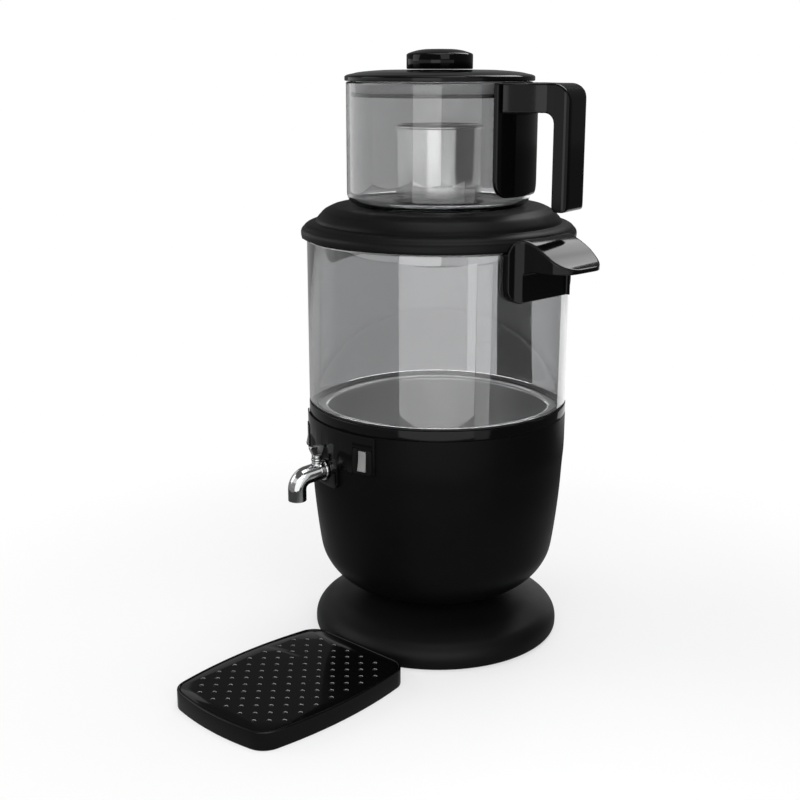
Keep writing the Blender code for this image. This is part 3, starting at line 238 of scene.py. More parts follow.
card_left, card_right = (CARD_PLACE + CARD_ACROSS * side for side in CARD_SIDES)
card_foot, card_top = (Vector((0, 0, level)) for level in CARD_LEVELS)
card_corners = (
    card_left + card_foot, card_right + card_foot, card_right + card_top, card_left + card_top
)
card = bmesh.new()
bmesh.ops.contextual_create(card, geom=[card.verts.new(corner) for corner in card_corners])
dark_card = to_object("dark_card", card)
black_card = new_finish("black_card", {"Base Color": CARD_BLACK, "Roughness": 0.9})[0]
dark_card.data.materials.append(black_card)
dark_card.visible_camera = False
dark_card.visible_diffuse = False
dark_card.visible_glossy = False
dark_card.visible_shadow = False


# Foot
# A broad disc with a rolled edge that sweeps up into the neck, moulded in black plastic with a fine
# satin grain, and screwed to the body from below.

FOOT_SWEEP_SHARES = (
    (0.0, 1.0), (0.012, 0.956), (0.081, 0.883), (0.242, 0.801), (0.424, 0.716), (0.606, 0.622),
    (0.758, 0.511), (0.879, 0.410), (0.958, 0.278), (0.994, 0.145), (1.0, 0.0),
)
FOOT_ROLL = 0.0036
FOOT_WALL = 0.0028
NECK_RADIUS = 0.042
FINE_STEPS = 160
MERGE = 0.000002
ON_AXIS = 0.00001


def through(points, steps=6):
    """A smooth line through the points."""
    line = []
    for i in range(len(points) - 1):
        before = Vector(points[max(i - 1, 0)])
        start = Vector(points[i])
        end = Vector(points[i + 1])
        after = Vector(points[min(i + 2, len(points) - 1)])
        for k in range(steps):
            t = k / steps
            bent = (
                2 * start
                + (end - before) * t
                + (2 * before - 5 * start + 4 * end - after) * t**2
                + (3 * start - before - 3 * end + after) * t**3
            )
            line.append(tuple(0.5 * bent))
    return line + [tuple(points[-1])]


def eased(corners, steps=5):
    """An outline of (x, y, rounding) corners with each corner rounded."""
    line = []
    for i, (x, y, rounding) in enumerate(corners):
        here = Vector((x, y))
        before = Vector(corners[i - 1][:2]) - here
        after = Vector(corners[(i + 1) % len(corners)][:2]) - here
        open_end = i in (0, len(corners) - 1) and x == 0
        if not rounding or open_end:
            line.append((x, y))
            continue
        reach = min(rounding, before.length * 0.49, after.length * 0.49)
        first = here + before.normalized() * reach
        last = here + after.normalized() * reach
        for k in range(steps + 1):
            t = k / steps
            line.append(tuple(first * (1 - t) ** 2 + here * 2 * t * (1 - t) + last * t**2))
    return line


def shade(mesh, sharp=40):
    """Smooth shading, with edges kept sharp above this angle."""
    mesh.shade_smooth()
    mesh.set_sharp_from_angle(angle=math.radians(sharp))


def to_piece(name, bm):
    """A shown object from a bmesh: doubles merged, faces outwards, shaded smooth."""
    bmesh.ops.remove_doubles(bm, verts=bm.verts, dist=MERGE)
    bmesh.ops.recalc_face_normals(bm, faces=bm.faces)
    obj = to_object(name, bm)
    shade(obj.data)
    return obj


def turned(name, profile, steps=FINE_STEPS, centre=(0, 0)):
    """Turns (radius, height) points about an upright axis, closed into a ring when off it."""
    bm = bmesh.new()
    verts = [bm.verts.new((radius, 0, height)) for radius, height in profile]
    edges = [bm.edges.new(pair) for pair in zip(verts, verts[1:])]
    if profile[0][0] > ON_AXIS or profile[-1][0] > ON_AXIS:
        edges.append(bm.edges.new((verts[-1], verts[0])))
    bmesh.ops.spin(
        bm, geom=verts + edges, cent=(0, 0, 0), axis=(0, 0, 1), dvec=(0, 0, 0),
        angle=2 * math.pi, steps=steps, use_merge=True,
    )
    bmesh.ops.translate(bm, verts=bm.verts, vec=(*centre, 0))
    return to_piece(name, bm)


def noise(tree, scale, detail, roughness=0.5, stretch=(1, 1, 1)):
    """Noise laid in the piece's own space, stretched by these shares."""
    place = add_node(tree, "ShaderNodeTexCoord")
    drawn = add_node(tree, "ShaderNodeMapping", {"Scale": stretch})
    made = add_node(
        tree, "ShaderNodeTexNoise", {"Scale": scale, "Detail": detail, "Roughness": roughness}
    )
    wire(tree, (place, "Object", drawn, "Vector"), (drawn, "Vector", made, "Vector"))
    return made


def relief(tree, shader, source, depth, strength):
    """Raises the surface a little by the noise."""
    bump = add_node(tree, "ShaderNodeBump", {"Distance": depth, "Strength": strength})
    wire(tree, (source, "Fac", bump, "Height"), (bump, "Normal", shader, "Normal"))


def uneven(tree, shader, source, first, last, least, most):
    """Lets the roughness drift from least to most as the noise goes from first to last."""
    drift = add_node(
        tree, "ShaderNodeMapRange",
        {"From Min": first, "From Max": last, "To Min": least, "To Max": most},
    )
    wire(tree, (source, "Fac", drift, "Value"), (drift, "Result", shader, "Roughness"))


def toned(tree, shader, source, colour, least, most):
    """Lets the colour drift between two shares of itself as the noise goes."""
    first, last = ((*[min(c * share, 1) for c in colour], 1) for share in (least, most))
    mix = add_node(tree, "ShaderNodeMix", {"A": first, "B": last}, data_type="RGBA")
    wire(tree, (source, "Fac", mix, "Factor"), (mix, "Result", shader, "Base Color"))


def grained(name, colour, roughness, grain, depth, specular=0.5, smudge=0.06):
    """A moulded or painted finish: fine grain, and a faint uneven sheen from handling."""
    made, tree, shader = new_finish(name, {"Specular IOR Level": specular})
    wide = noise(tree, 14, 5, 0.65)
    relief(tree, shader, noise(tree, grain, 3), depth, 0.6)
    uneven(tree, shader, wide, 0.3, 0.7, max(roughness - smudge, 0.02), roughness + smudge)
    toned(tree, shader, wide, colour, 0.85, 1.15)
    return made


def fit(piece, material, body, slot, *stands_for):
    """Gives the piece its finish and body, and hides the nodes it stands for. The slot is not used.
    """
    piece.data.materials.clear()
    piece.data.materials.append(material)
    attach(piece, body)
    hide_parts(*stands_for)


def coat_node(material, *names):
    """Puts a finish on CAD nodes that are shown as they are."""
    for name in names:
        mesh = nodes[name].data
        mesh.materials.clear()
        mesh.materials.append(material)


satin_plastic = grained(
    "satin_black_moulding", (0.0045, 0.0045, 0.0047), 0.42, 2600, 0.00004, specular=0.11
)
foot_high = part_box("pedestal_foot")[1]
foot_radius = foot_high.x
foot_inner = foot_radius - FOOT_WALL
rim_z = 0.0001
sweep = through(
    [
        (NECK_RADIUS + (foot_radius - NECK_RADIUS) * r, FOOT_ROLL + (foot_high.z - FOOT_ROLL) * z)
        for r, z in FOOT_SWEEP_SHARES
    ]
    + [(foot_radius - 0.0005, 0.0012), (foot_radius - 0.0017, rim_z)],
    5,
)
hollow = [
    (foot_inner, rim_z),
    (foot_inner, 0.0060),
    (foot_radius - 0.012, 0.0110),
    (NECK_RADIUS + 0.010, 0.0240),
    (NECK_RADIUS - 0.003, foot_high.z),
]
foot = turned("foot_dressed", sweep + hollow)
fit(foot, satin_plastic, "base", "satin_black_plastic", "pedestal_foot")

rubber = grained("black_rubber", (0.012, 0.012, 0.012), 0.72, 1800, 0.00008, specular=0.3)
coat_node(satin_plastic, "base_cover")
coat_node(rubber, "foot_pad_1", "foot_pad_2", "foot_pad_3", "foot_pad_4", "cord_gland")


# Body
# A deep bowl drawn in thin steel and painted satin black. It stands on the neck of the foot,
# bellies out, and runs straight up to the band. It is pierced for the tap and the switches.

def from_shares(shares, inner, outer, low, high, steps=5):
    """A smooth line through points given as shares of a breadth and of a height."""
    points = [(inner + (outer - inner) * r, low + (high - low) * z) for r, z in shares]
    return through(points, steps)


BODY_SHARES = (
    (1.0, 1.0), (1.0, 0.94), (0.998, 0.806), (0.988, 0.7075), (0.9755, 0.565), (0.9565, 0.4228),
    (0.934, 0.2954), (0.913, 0.2091), (0.879, 0.1514), (0.830, 0.1004), (0.766, 0.057),
    (0.692, 0.024), (0.606, 0.0),
)
BODY_WALL = 0.003
BODY_STRAIGHT = 0.080
BODY_HOLE_SHARE = 0.32
BODY_INSIDE_CORNERS = ((0.885, 0.030), (0.745, 0.0125))

satin_paint = grained(
    "satin_black_paint", (0.0035, 0.0035, 0.0037), 0.38, 900, 0.00003, specular=0.06
)
body_low, body_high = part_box("body_shell")
body_radius = body_high.x
body_outside = from_shares(BODY_SHARES, 0, body_radius, body_low.z, body_high.z, 4)
body_hole = body_radius * BODY_HOLE_SHARE
body_inside = [
    (body_radius - BODY_WALL, body_high.z),
    (body_radius - BODY_WALL, body_low.z + BODY_STRAIGHT),
    *[(body_radius * r, body_low.z + above) for r, above in BODY_INSIDE_CORNERS],
    (body_hole, body_low.z + BODY_WALL),
    (body_hole, body_low.z),
]
body = turned("body_dressed", body_outside[::-1] + body_inside)
fit(body, satin_paint, "base", "satin_black_paint", "body_shell")


# Band
# A turned ring of gloss black plastic with eased edges. It sits on the body's rim, hides the edge
# of the steel bowl and carries the glass tank.

BAND_WALL = 0.013
LEDGE_DROP = 0.0015

gloss_plastic = grained(
    "gloss_black_moulding", (0.0028, 0.0028, 0.0030), 0.09, 160, 0.00002, 0.17, 0.03
)
band_low, band_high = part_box("trim_band")
bowl_low, bowl_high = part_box("boiler_bowl")
ledge_z = bowl_high.z - LEDGE_DROP
ledge_outer = bowl_high.x + 0.0005
band_inner = band_high.x - BAND_WALL
band_corners = [
    (band_high.x, band_low.z, 0.0004), (band_high.x, band_high.z, 0.0009),
    (ledge_outer, band_high.z, 0.0005), (ledge_outer, ledge_z, 0),
    (band_inner, ledge_z, 0.0004), (band_inner, band_low.z, 0.0004),
]
band = turned("band_dressed", eased(band_corners))
fit(band, gloss_plastic, "base", "gloss_black_plastic", "trim_band")
coat_node(rubber, "tank_gasket")


# Boiler bowl
# A deep bowl drawn from stainless sheet, with a flat flange that lies on the band's ledge. It is
# brushed round and round inside, and the heater, the thermostat and the tap's shank hold on to it.

def brushed(name, colour, roughness, across, along, depth, contrast=0.10):
    """Steel with fine brush lines: long in one direction, close together in the other."""
    made, tree, shader = new_finish(name, {"Metallic": 1})
    lines = noise(tree, 1, 4, 0.7, (along, along, across))
    relief(tree, shader, lines, depth, 0.5)
    least, most = roughness * (1 - 2 * contrast), roughness * (1 + 3 * contrast)
    uneven(tree, shader, lines, 0.3, 0.7, least, most)
    toned(tree, shader, lines, colour, 1 - contrast, 1 + contrast)
    return made


BOWL_RADIUS = 0.079
BOWL_WALL = 0.0012
BOWL_CORNER = 0.015

drawn_steel = brushed("drawn_steel", (0.84, 0.84, 0.83), 0.30, 2400, 12, 0.000003, 0.04)
bowl_outer = BOWL_RADIUS + BOWL_WALL
flange_z = bowl_high.z - BOWL_WALL
bowl_floor = bowl_low.z + BOWL_WALL
bowl_corners = [
    (0, bowl_low.z, 0), (bowl_outer, bowl_low.z, BOWL_CORNER * 1.2),
    (bowl_outer, flange_z, 0.0008), (bowl_high.x, flange_z, 0.0004),
    (bowl_high.x, bowl_high.z, 0.0004), (BOWL_RADIUS, bowl_high.z, 0.0020),
    (BOWL_RADIUS, bowl_floor, BOWL_CORNER * 1.1), (0, bowl_floor, 0),
]
bowl = turned("bowl_dressed", eased(bowl_corners, 8))
fit(bowl, drawn_steel, "base", "brushed_steel", "boiler_bowl")

heater_steel = brushed("heater_sheath", (0.42, 0.41, 0.40), 0.38, 900, 900, 0.00003)
coat_node(heater_steel, "heating_element")
coat_node(satin_plastic, "thermostat")


# Tank
# A cylinder of lightly smoked glass with fire-polished rims. It stands on a flat seal on the band
# and holds the water. Dried splashes dull it a little here and there.

def smoked(name, tint, roughness=0.0, mark=0.25, coat=0.0, clear=1.0):
    """Glass with a light smoke tint, and faint dried marks that dull its polish here and there."""
    made, tree, shader = new_finish(
        name,
        {"Transmission Weight": clear, "IOR": 1.50, "Coat Weight": coat, "Coat Roughness": 0.02},
    )
    uneven(tree, shader, noise(tree, 38, 6, 0.72), 0.60, 0.78, roughness, roughness + mark)
    wave = noise(tree, 6, 2)
    toned(tree, shader, wave, tint, 0.975, 1.025)
    relief(tree, shader, wave, 0.0003, 0.08)
    return made


def ring(name, outer, inner, low, high, rounds, steps=FINE_STEPS, centre=(0, 0)):
    """A turned ring with its four edges rounded, from the lower outer one round to the inner."""
    corners = zip((outer, outer, inner, inner), (low, high, high, low), rounds)
    return turned(name, eased(list(corners)), steps, centre)


TANK_WALL = 0.003

tank_glass = smoked("smoked_tank_glass", (0.42, 0.423, 0.427), coat=1.0)
tank_low, tank_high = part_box("glass_tank")
tank_inner = tank_high.x - TANK_WALL
tank = ring(
    "tank_dressed", tank_high.x, tank_inner, tank_low.z, tank_high.z,
    (0.0009, 0.0012, 0.0012, 0.0009), 192,
)
fit(tank, tank_glass, "base", "glass", "glass_tank")


# Control panel
# A thin strip of gloss black plastic that wraps the front of the body below the band. Its middle
# runs down in a tongue round the tap, its ends carry the switches, and clips inside hold it.

PANEL_INNER_CLEARANCE = 0.0003
SWITCH_ANGLE = math.radians(23.9)
TONGUE_HALF = 0.015
PANEL_END_DROP = 0.0275
PANEL_TONGUE_DROP = 0.0435
PANEL_CORNER = 0.004
FRAME_WIDTH = 0.0158
WINDOW_CLEARANCE = 0.0006
WINDOW_START = 0.07
SHANK_HOLE = 0.0055
OVERSHOOT = 0.002


def arc(centre, radius, first, last, steps=8):
    """Points on an arc between two angles in degrees."""
    angles = [math.radians(first + (last - first) * i / steps) for i in range(steps + 1)]
    return [(centre[0] + radius * math.cos(a), centre[1] + radius * math.sin(a)) for a in angles]


def mirrored(right):
    """The right half of an outline with its mirror image on the left."""
    return right + [(-across, along) for across, along in right[::-1]]


def drum(name, radius, low, high, steps=256):
    """A solid cylinder about the middle axis."""
    return turned(name, [(0, high), (radius, high), (radius, low), (0, low)], steps)


def raised(name, outline, low, high, plane="plan"):
    """An outline carried from low to high: in plan, seen from the front, or from the side."""
    bm = bmesh.new()
    place, away = {
        "plan": (lambda a, b: (a, b, low), (0, 0, high - low)),
        "front": (lambda a, b: (a, -low, b), (0, low - high, 0)),
        "side": (lambda a, b: (low, -a, b), (high - low, 0, 0)),
    }[plane]
    face = bm.faces.new([bm.verts.new(place(a, b)) for a, b in outline])
    raised_face = bmesh.ops.extrude_face_region(bm, geom=[face])
    moved = [v for v in raised_face["geom"] if isinstance(v, bmesh.types.BMVert)]
    bmesh.ops.translate(bm, verts=moved, vec=away)
    return to_piece(name, bm)


def settle(piece):
    """Works the piece's modifiers into its mesh."""
    bpy.context.view_layer.update()
    done = piece.evaluated_get(bpy.context.evaluated_depsgraph_get())
    mesh = bpy.data.meshes.new_from_object(done)
    piece.modifiers.clear()
    piece.data = mesh


def cut(piece, tool, operation="DIFFERENCE"):
    """Cuts, joins or trims a piece by a tool, which is then thrown away."""
    step = piece.modifiers.new(operation.title(), "BOOLEAN")
    step.operation = operation
    step.object = tool
    settle(piece)
    bpy.data.objects.remove(tool, do_unlink=True)


def turn_round(piece, angle):
    """Turns a piece about the upright axis, from the front towards +X, and leaves it there."""
    piece.data.transform(Matrix.Rotation(angle, 4, "Z"))
    return piece


def soften(piece, width, segments=3, limit=30):
    """Rounds the piece's sharp edges, as a mould or a polishing wheel does."""
    bm = bmesh.new()
    bm.from_mesh(piece.data)
    bmesh.ops.remove_doubles(bm, verts=bm.verts, dist=MERGE)
    bmesh.ops.dissolve_limit(
        bm, angle_limit=math.radians(1), verts=bm.verts, edges=bm.edges, delimit={"NORMAL"}
    )
    edges = [e for e in bm.edges if e.is_manifold and e.calc_face_angle(0) > math.radians(limit)]
    bmesh.ops.bevel(
        bm, geom=edges, offset=width, segments=segments, profile=0.5, affect="EDGES",
        material=-1, clamp_overlap=True, miter_outer="ARC",
    )
    bmesh.ops.recalc_face_normals(bm, faces=bm.faces)
    bm.to_mesh(piece.data)
    bm.free()
    shade(piece.data)


frame_low, frame_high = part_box("switch_frame_right")
frame_middle_z = (frame_low.z + frame_high.z) / 2
frame_height = frame_high.z - frame_low.z
panel_low, panel_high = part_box("control_panel")
panel_radius = -panel_low.y
half_end = panel_high.x
end_z = panel_high.z - PANEL_END_DROP
tongue_z = panel_high.z - PANEL_TONGUE_DROP

panel_outline = mirrored(
    arc((TONGUE_HALF - PANEL_CORNER, tongue_z + PANEL_CORNER), PANEL_CORNER, -90, 0)
    + arc((TONGUE_HALF + PANEL_CORNER, end_z - PANEL_CORNER), PANEL_CORNER, 180, 90)
    + arc((half_end - PANEL_CORNER / 2, end_z + PANEL_CORNER / 2), PANEL_CORNER / 2, -90, 0)
    + [(half_end, panel_high.z)]
)


def body_radius_at(height):
    """The body's outer radius at this height."""
    for (r1, z1), (r2, z2) in zip(body_outside, body_outside[1:]):
        if z2 <= height <= z1:
            return r2 + (r1 - r2) * (height - z2) / (z1 - z2)
    return body_radius


strip_levels = [panel_high.z - (PANEL_TONGUE_DROP + OVERSHOOT) * i / 10 for i in range(11)]
strip = [(body_radius_at(z) + PANEL_INNER_CLEARANCE, z) for z in strip_levels]
strip_bottom = strip_levels[-1]
panel = turned(
    "panel_dressed", [(panel_radius, strip_bottom), (panel_radius, panel_high.z), *strip], 256
)
panel_edge = raised("panel_edge", panel_outline, 0.02, panel_radius + OVERSHOOT * 2, "front")
cut(panel, panel_edge, "INTERSECT")


def window(name, width, height, middle_z, angle, inner, outer, corner=0.0):
    """A cutter with the shape of a window, set square to the surface at this angle."""
    side, low, high = width / 2, middle_z - height / 2, middle_z + height / 2
    outline = [(-side, low), (side, low), (side, high), (-side, high)]
    if corner:
        outline = mirrored(
            arc((side - corner, low + corner), corner, -90, 0, 5)
            + arc((side - corner, high - corner), corner, 0, 90, 5)
        )
    return turn_round(raised(name, outline, inner, outer, "front"), angle)


def bar(name, radius, start, end, sides=48):
    """A round bar between two points."""
    start, end = Vector(start), Vector(end)
    along = end - start
    bm = bmesh.new()
    bmesh.ops.create_cone(
        bm, cap_ends=True, segments=sides, radius1=radius, radius2=radius, depth=along.length
    )
    turn = along.to_track_quat("Z", "Y").to_matrix().to_4x4()
    bmesh.ops.transform(bm, verts=bm.verts, matrix=Matrix.Translation(start + along / 2) @ turn)
    return to_piece(name, bm)


flange_low, flange_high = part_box("tap_flange")
tap_z = (flange_low.z + flange_high.z) / 2
for pierced in (panel, body):
    for angle in (-SWITCH_ANGLE, SWITCH_ANGLE):
        opening = window(
            "switch_window", FRAME_WIDTH + WINDOW_CLEARANCE, frame_height + WINDOW_CLEARANCE,
            frame_middle_z, angle, WINDOW_START, panel_radius + 0.005,
        )
        cut(pierced, opening)
    cut(pierced, bar("shank_hole", SHANK_HOLE, (0, -0.08, tap_z), (0, -0.11, tap_z)))
cut(bowl, bar("shank_hole", SHANK_HOLE, (0, -0.06, tap_z), (0, -0.10, tap_z)))
soften(panel, 0.00035, 2)
shade(body.data)
shade(bowl.data)
fit(panel, gloss_plastic, "base", "gloss_black_plastic", "control_panel")


# Switches
# A black moulded frame at each end of the panel holds a light grey rocker with a dished face, which
# tilts on two small pins.

SWITCH_SKIN_RADIUS = 0.0958
SWITCH_DEPTH = 0.013
SWITCH_CORNER = 0.0016
ROCKER_PIVOT = 0.0938
ROCKER_WIDTH = 0.0062
ROCKER_HEIGHT = 0.0148
ROCKER_FACE = 0.0026
ROCKER_DISH = 0.0006
ROCKER_BACK = 0.004
ROCKER_CLEARANCE = 0.0008
ROCKER_TILT = math.radians(6)

grey_plastic = grained(
    "light_grey_moulding", (0.24, 0.24, 0.237), 0.40, 2200, 0.00003, specular=0.4
)


def rocker_side():
    """The rocker from the side: round ends about its pivot and a hollow face."""
    radius = ROCKER_HEIGHT / 2
    front = math.degrees(math.asin(ROCKER_FACE / radius))
    back = math.degrees(math.asin(ROCKER_BACK / radius))
    top = arc((0, 0), radius, 90 - front, 90 + back, 10)
    bottom = arc((0, 0), radius, -90 - back, -90 + front, 10)
    half = bottom[-1][1]
    down = [1 - i / 5 for i in range(1, 10)]
    face = [(ROCKER_FACE - ROCKER_DISH * (1 - share**2), half * share) for share in down]
    return top + bottom + face


for side, angle in (("right", SWITCH_ANGLE), ("left", -SWITCH_ANGLE)):
    frame_piece = window(
        "switch_frame_dressed_" + side, FRAME_WIDTH, frame_height, frame_middle_z, angle,
        SWITCH_SKIN_RADIUS - SWITCH_DEPTH, 0.100, SWITCH_CORNER,
    )
    skin = drum("switch_skin", SWITCH_SKIN_RADIUS, frame_low.z - 0.004, frame_high.z + 0.004)
    cut(frame_piece, skin, "INTERSECT")
    opening = window(
        "rocker_window", ROCKER_WIDTH + ROCKER_CLEARANCE, ROCKER_HEIGHT + ROCKER_CLEARANCE,
        frame_middle_z, angle, WINDOW_START, 0.105,
    )
    cut(frame_piece, opening)
    soften(frame_piece, 0.0003, 2)
    fit(frame_piece, satin_plastic, "base", "satin_black_plastic", "switch_frame_" + side)
    rocker = raised(
        "rocker_dressed_" + side, rocker_side(), -ROCKER_WIDTH / 2, ROCKER_WIDTH / 2, "side"
    )
    soften(rocker, 0.0003, 2)
    pivot = (ROCKER_PIVOT * math.sin(angle), -ROCKER_PIVOT * math.cos(angle), frame_middle_z)
    seat = Matrix.Translation(pivot) @ Matrix.Rotation(angle, 4, "Z")
    rocker.data.transform(seat @ Matrix.Rotation(-ROCKER_TILT, 4, "X"))
    fit(rocker, grey_plastic, side + "_rocker", "light_grey_plastic", "rocker_" + side)


# Tap
# Cast brass, polished and chrome plated: a flange on the panel, a spout that turns down over the
# tray, a bonnet, and a fan-shaped lever on the spindle. A washer and a nut clamp it in the bowl.

TAP_TUBE = 0.0065
TAP_BORE = 0.0040
TAP_SHANK = 0.0050
TAP_ELBOW = 0.0095
TAP_SLOPE = math.radians(8)
TAP_OUTLET_DROP = 0.019
TAP_BOSS = 0.0036
TAP_OUT = 0.1174
VALVE_OUT = 0.1015
SPINDLE_HOLE = 0.0021
BONNET = 0.0039
SEAT_GAP = 0.0003


def polished(name, colour, roughness):
    """Bright plating with faint wiping marks, which only just break up its reflections."""
    made, tree, shader = new_finish(name, {"Metallic": 1})
    marks = noise(tree, 120, 5)
    uneven(tree, shader, marks, 0.35, 0.75, roughness, roughness + 0.10)
    toned(tree, shader, marks, colour, 1, 0.92)
    return made


def cast(piece, grain, rounds=8):
    """Melts the joined forms into one another, with the soft corners of a casting or a moulding."""
    remesh = piece.modifiers.new("Casting", "REMESH")
    remesh.mode = "VOXEL"
    remesh.voxel_size = grain
    smooth = piece.modifiers.new("Polish", "SMOOTH")
    smooth.factor = 0.5
    smooth.iterations = rounds
    settle(piece)
    piece.data.shade_smooth()


def pipe(name, path, radius, roundness=10):
    """A round bar along a path of points."""
    curve = bpy.data.curves.new(name, "CURVE")
    curve.dimensions = "3D"
    curve.bevel_depth = radius
    curve.bevel_resolution = roundness
    curve.use_fill_caps = True
    spline = curve.splines.new("POLY")
    spline.points.add(len(path) - 1)
    for point, place in zip(spline.points, path):
        point.co = (*place, 1)
    guide = to_scene(name + "_path", curve)
    bpy.context.view_layer.update()
    bm = bmesh.new()
    bm.from_mesh(guide.to_mesh())
    guide.to_mesh_clear()
    bpy.data.objects.remove(guide, do_unlink=True)
    return to_piece(name, bm)


chrome = polished("chrome_plate", (0.52, 0.525, 0.53), 0.05)

flange_thickness = flange_high.y - flange_low.y
flange = ring(
    "tap_flange_dressed", flange_high.x, SHANK_HOLE, 0, flange_thickness,
    (0.0002, 0.0008, 0.0003, 0.0002), 96,
)
flange.data.transform(
    Matrix.Translation((0, flange_high.y, tap_z)) @ Matrix.Rotation(math.radians(90), 4, "X")
)
fit(flange, chrome, "base", "chrome", "tap_flange")

spout_start = -flange_low.y + SEAT_GAP + TAP_TUBE * math.sin(TAP_SLOPE)
fall = math.tan(TAP_SLOPE)
corner_z = tap_z - (TAP_OUT - spout_start) * fall
tangent = TAP_ELBOW * math.tan((math.pi / 2 - TAP_SLOPE) / 2)
bend = arc((TAP_OUT - TAP_ELBOW, corner_z - tangent), TAP_ELBOW, 82, 0, 16)
outlet_z = tap_z - TAP_OUTLET_DROP
spout_path = [(0, -out, z) for out, z in [(spout_start, tap_z), *bend, (TAP_OUT, outlet_z)]]
shank_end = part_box("tap_body")[1].y
bonnet_low, bonnet_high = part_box("tap_bonnet")
boss_top = bonnet_low.z - SEAT_GAP
valve = (0, -VALVE_OUT, tap_z)
hub_start, hub_end = (0, flange_low.y - SEAT_GAP, tap_z), (0, -spout_start - OVERSHOOT, tap_z)
tap = pipe("tap_dressed", spout_path, TAP_TUBE)
cut(tap, bar("hub", TAP_TUBE, hub_start, hub_end), "UNION")
cut(tap, bar("shank", TAP_SHANK, (0, shank_end, tap_z), (0, -spout_start, tap_z)), "UNION")
cut(tap, bar("boss", TAP_BOSS, valve, (0, -VALVE_OUT, boss_top)), "UNION")
bore_start, bore_end = (0, shank_end + OVERSHOOT, tap_z), (0, -TAP_OUT, outlet_z - OVERSHOOT)
bore_path = [bore_start, *spout_path[:-1], bore_end]
cut(tap, pipe("bore", bore_path, TAP_BORE, 8))
cut(tap, bar("spindle_hole", SPINDLE_HOLE, valve, (0, -VALVE_OUT, boss_top + OVERSHOOT)))
cast(tap, 0.00028, 6)
fit(tap, chrome, "base", "chrome", "tap_body")

bonnet = ring(
    "tap_bonnet_dressed", BONNET, SPINDLE_HOLE, bonnet_low.z, bonnet_high.z,
    (0.0003, 0.0005, 0.0003, 0.0003), 96, (0, -VALVE_OUT),
)
fit(bonnet, chrome, "base", "chrome", "tap_bonnet")

LEVER_WIDTH = 0.0112
LEVER_THICKNESS = 0.0030
LEVER_HUB = 0.0036
LEVER_HUB_HEIGHT = 0.0020
SOCKET_RADIUS = 0.0019
SOCKET_DEPTH = 0.0014
lever_low, lever_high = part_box("tap_lever")
hub_top = lever_low.z + LEVER_HUB_HEIGHT
half_thick = LEVER_THICKNESS / 2
crown_z = lever_high.z - half_thick
flare = LEVER_WIDTH / 2 - half_thick
lever = drum("tap_lever_dressed", LEVER_HUB, lever_low.z, hub_top, 64)
stem = LEVER_HUB - 0.0004
stem_z = lever_low.z + 0.0010
fan = [
    *arc((flare, crown_z), half_thick, -10, 90, 6),
    *arc((-flare, crown_z), half_thick, 90, 190, 6),
    (-stem, hub_top),
    (-stem, stem_z),
    (stem, stem_z),
    (stem, hub_top),
]
cut(lever, raised("fan", fan, -half_thick, half_thick, "side"), "UNION")
socket_low, socket_high = lever_low.z - OVERSHOOT, lever_low.z + SOCKET_DEPTH
cut(lever, bar("socket", SOCKET_RADIUS, (0, 0, socket_low), (0, 0, socket_high)))
cast(lever, 0.00018, 5)
lever.data.transform(Matrix.Translation((0, -VALVE_OUT, 0)))
fit(lever, chrome, "tap_handle", "chrome", "tap_lever")

coat_node(chrome, "tap_nut")
coat_node(drawn_steel, "tap_spindle")
coat_node(rubber, "tap_washer")


# Collar
# A deep ring moulded in satin black plastic. It drops over the tank's rim with a skirt inside the
# glass, flares to a rounded lip, and its flat top carries the teapot over the steam opening.

COLLAR_UPPER_SHARES = (
    (0.49, 1.0), (0.515, 0.985), (0.55, 0.953), (0.60, 0.900), (0.648, 0.837), (0.707, 0.707),
    (0.748, 0.600), (0.764, 0.530), (0.772, 0.502),
)
COLLAR_LOWER_SHARES = (
    (0.790, 0.491), (0.804, 0.488), (0.850, 0.470), (0.891, 0.442), (0.930, 0.390), (0.957, 0.326),
    (0.985, 0.260), (0.997, 0.190), (0.998, 0.120), (0.994, 0.040), (0.983, 0.0),
)
COLLAR_INSIDE_SHARES = ((1.0, 0.225), (0.966, 0.330), (0.895, 0.480), (0.784, 0.670))
COLLAR_HOLE = 0.052
COLLAR_SKIRT = 0.0030
COLLAR_SKIRT_WALL = 0.0026
COLLAR_WALL = 0.0028
COLLAR_GROOVE = 0.0005
COLLAR_EDGE = 0.0006

collar_low, collar_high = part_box("collar")
collar_radius = collar_high.x
lip_z = collar_low.z + COLLAR_SKIRT


def collar_line(shares, edge):
    """A line across the collar, from shares of its breadth and of its rise."""
    return from_shares(shares, COLLAR_HOLE, edge, lip_z, collar_high.z, 4)


skirt_outer = tank_inner - 0.001
skirt_inner = skirt_outer - COLLAR_SKIRT_WALL
groove_outer = tank_high.x + COLLAR_GROOVE
groove_inner = tank_inner - COLLAR_GROOVE
groove_roof = lip_z + COLLAR_GROOVE
inner_line = collar_line(COLLAR_INSIDE_SHARES, skirt_inner)
collar = turned(
    "collar_dressed",
    [
        (COLLAR_HOLE + COLLAR_EDGE, collar_high.z),
        *collar_line(COLLAR_UPPER_SHARES, collar_radius),
        *collar_line(COLLAR_LOWER_SHARES, collar_radius),
        (groove_outer + COLLAR_EDGE, lip_z - 0.00002),
        (groove_outer, lip_z + 0.0002),
        (groove_outer, groove_roof),
        (groove_inner, groove_roof),
        (groove_inner, lip_z),
        (skirt_outer, lip_z),
        *eased(
            [(skirt_outer, lip_z, 0), (skirt_outer, collar_low.z, 0.0008),
             (skirt_inner, collar_low.z, 0.0008), (skirt_inner, lip_z, 0)]
        )[1:-1],
        *inner_line,
        (inner_line[-1][0] - COLLAR_WALL, collar_high.z - COLLAR_WALL),
        (COLLAR_HOLE, collar_high.z - COLLAR_WALL),
        (COLLAR_HOLE, collar_high.z - COLLAR_EDGE),
    ],
    224,
)
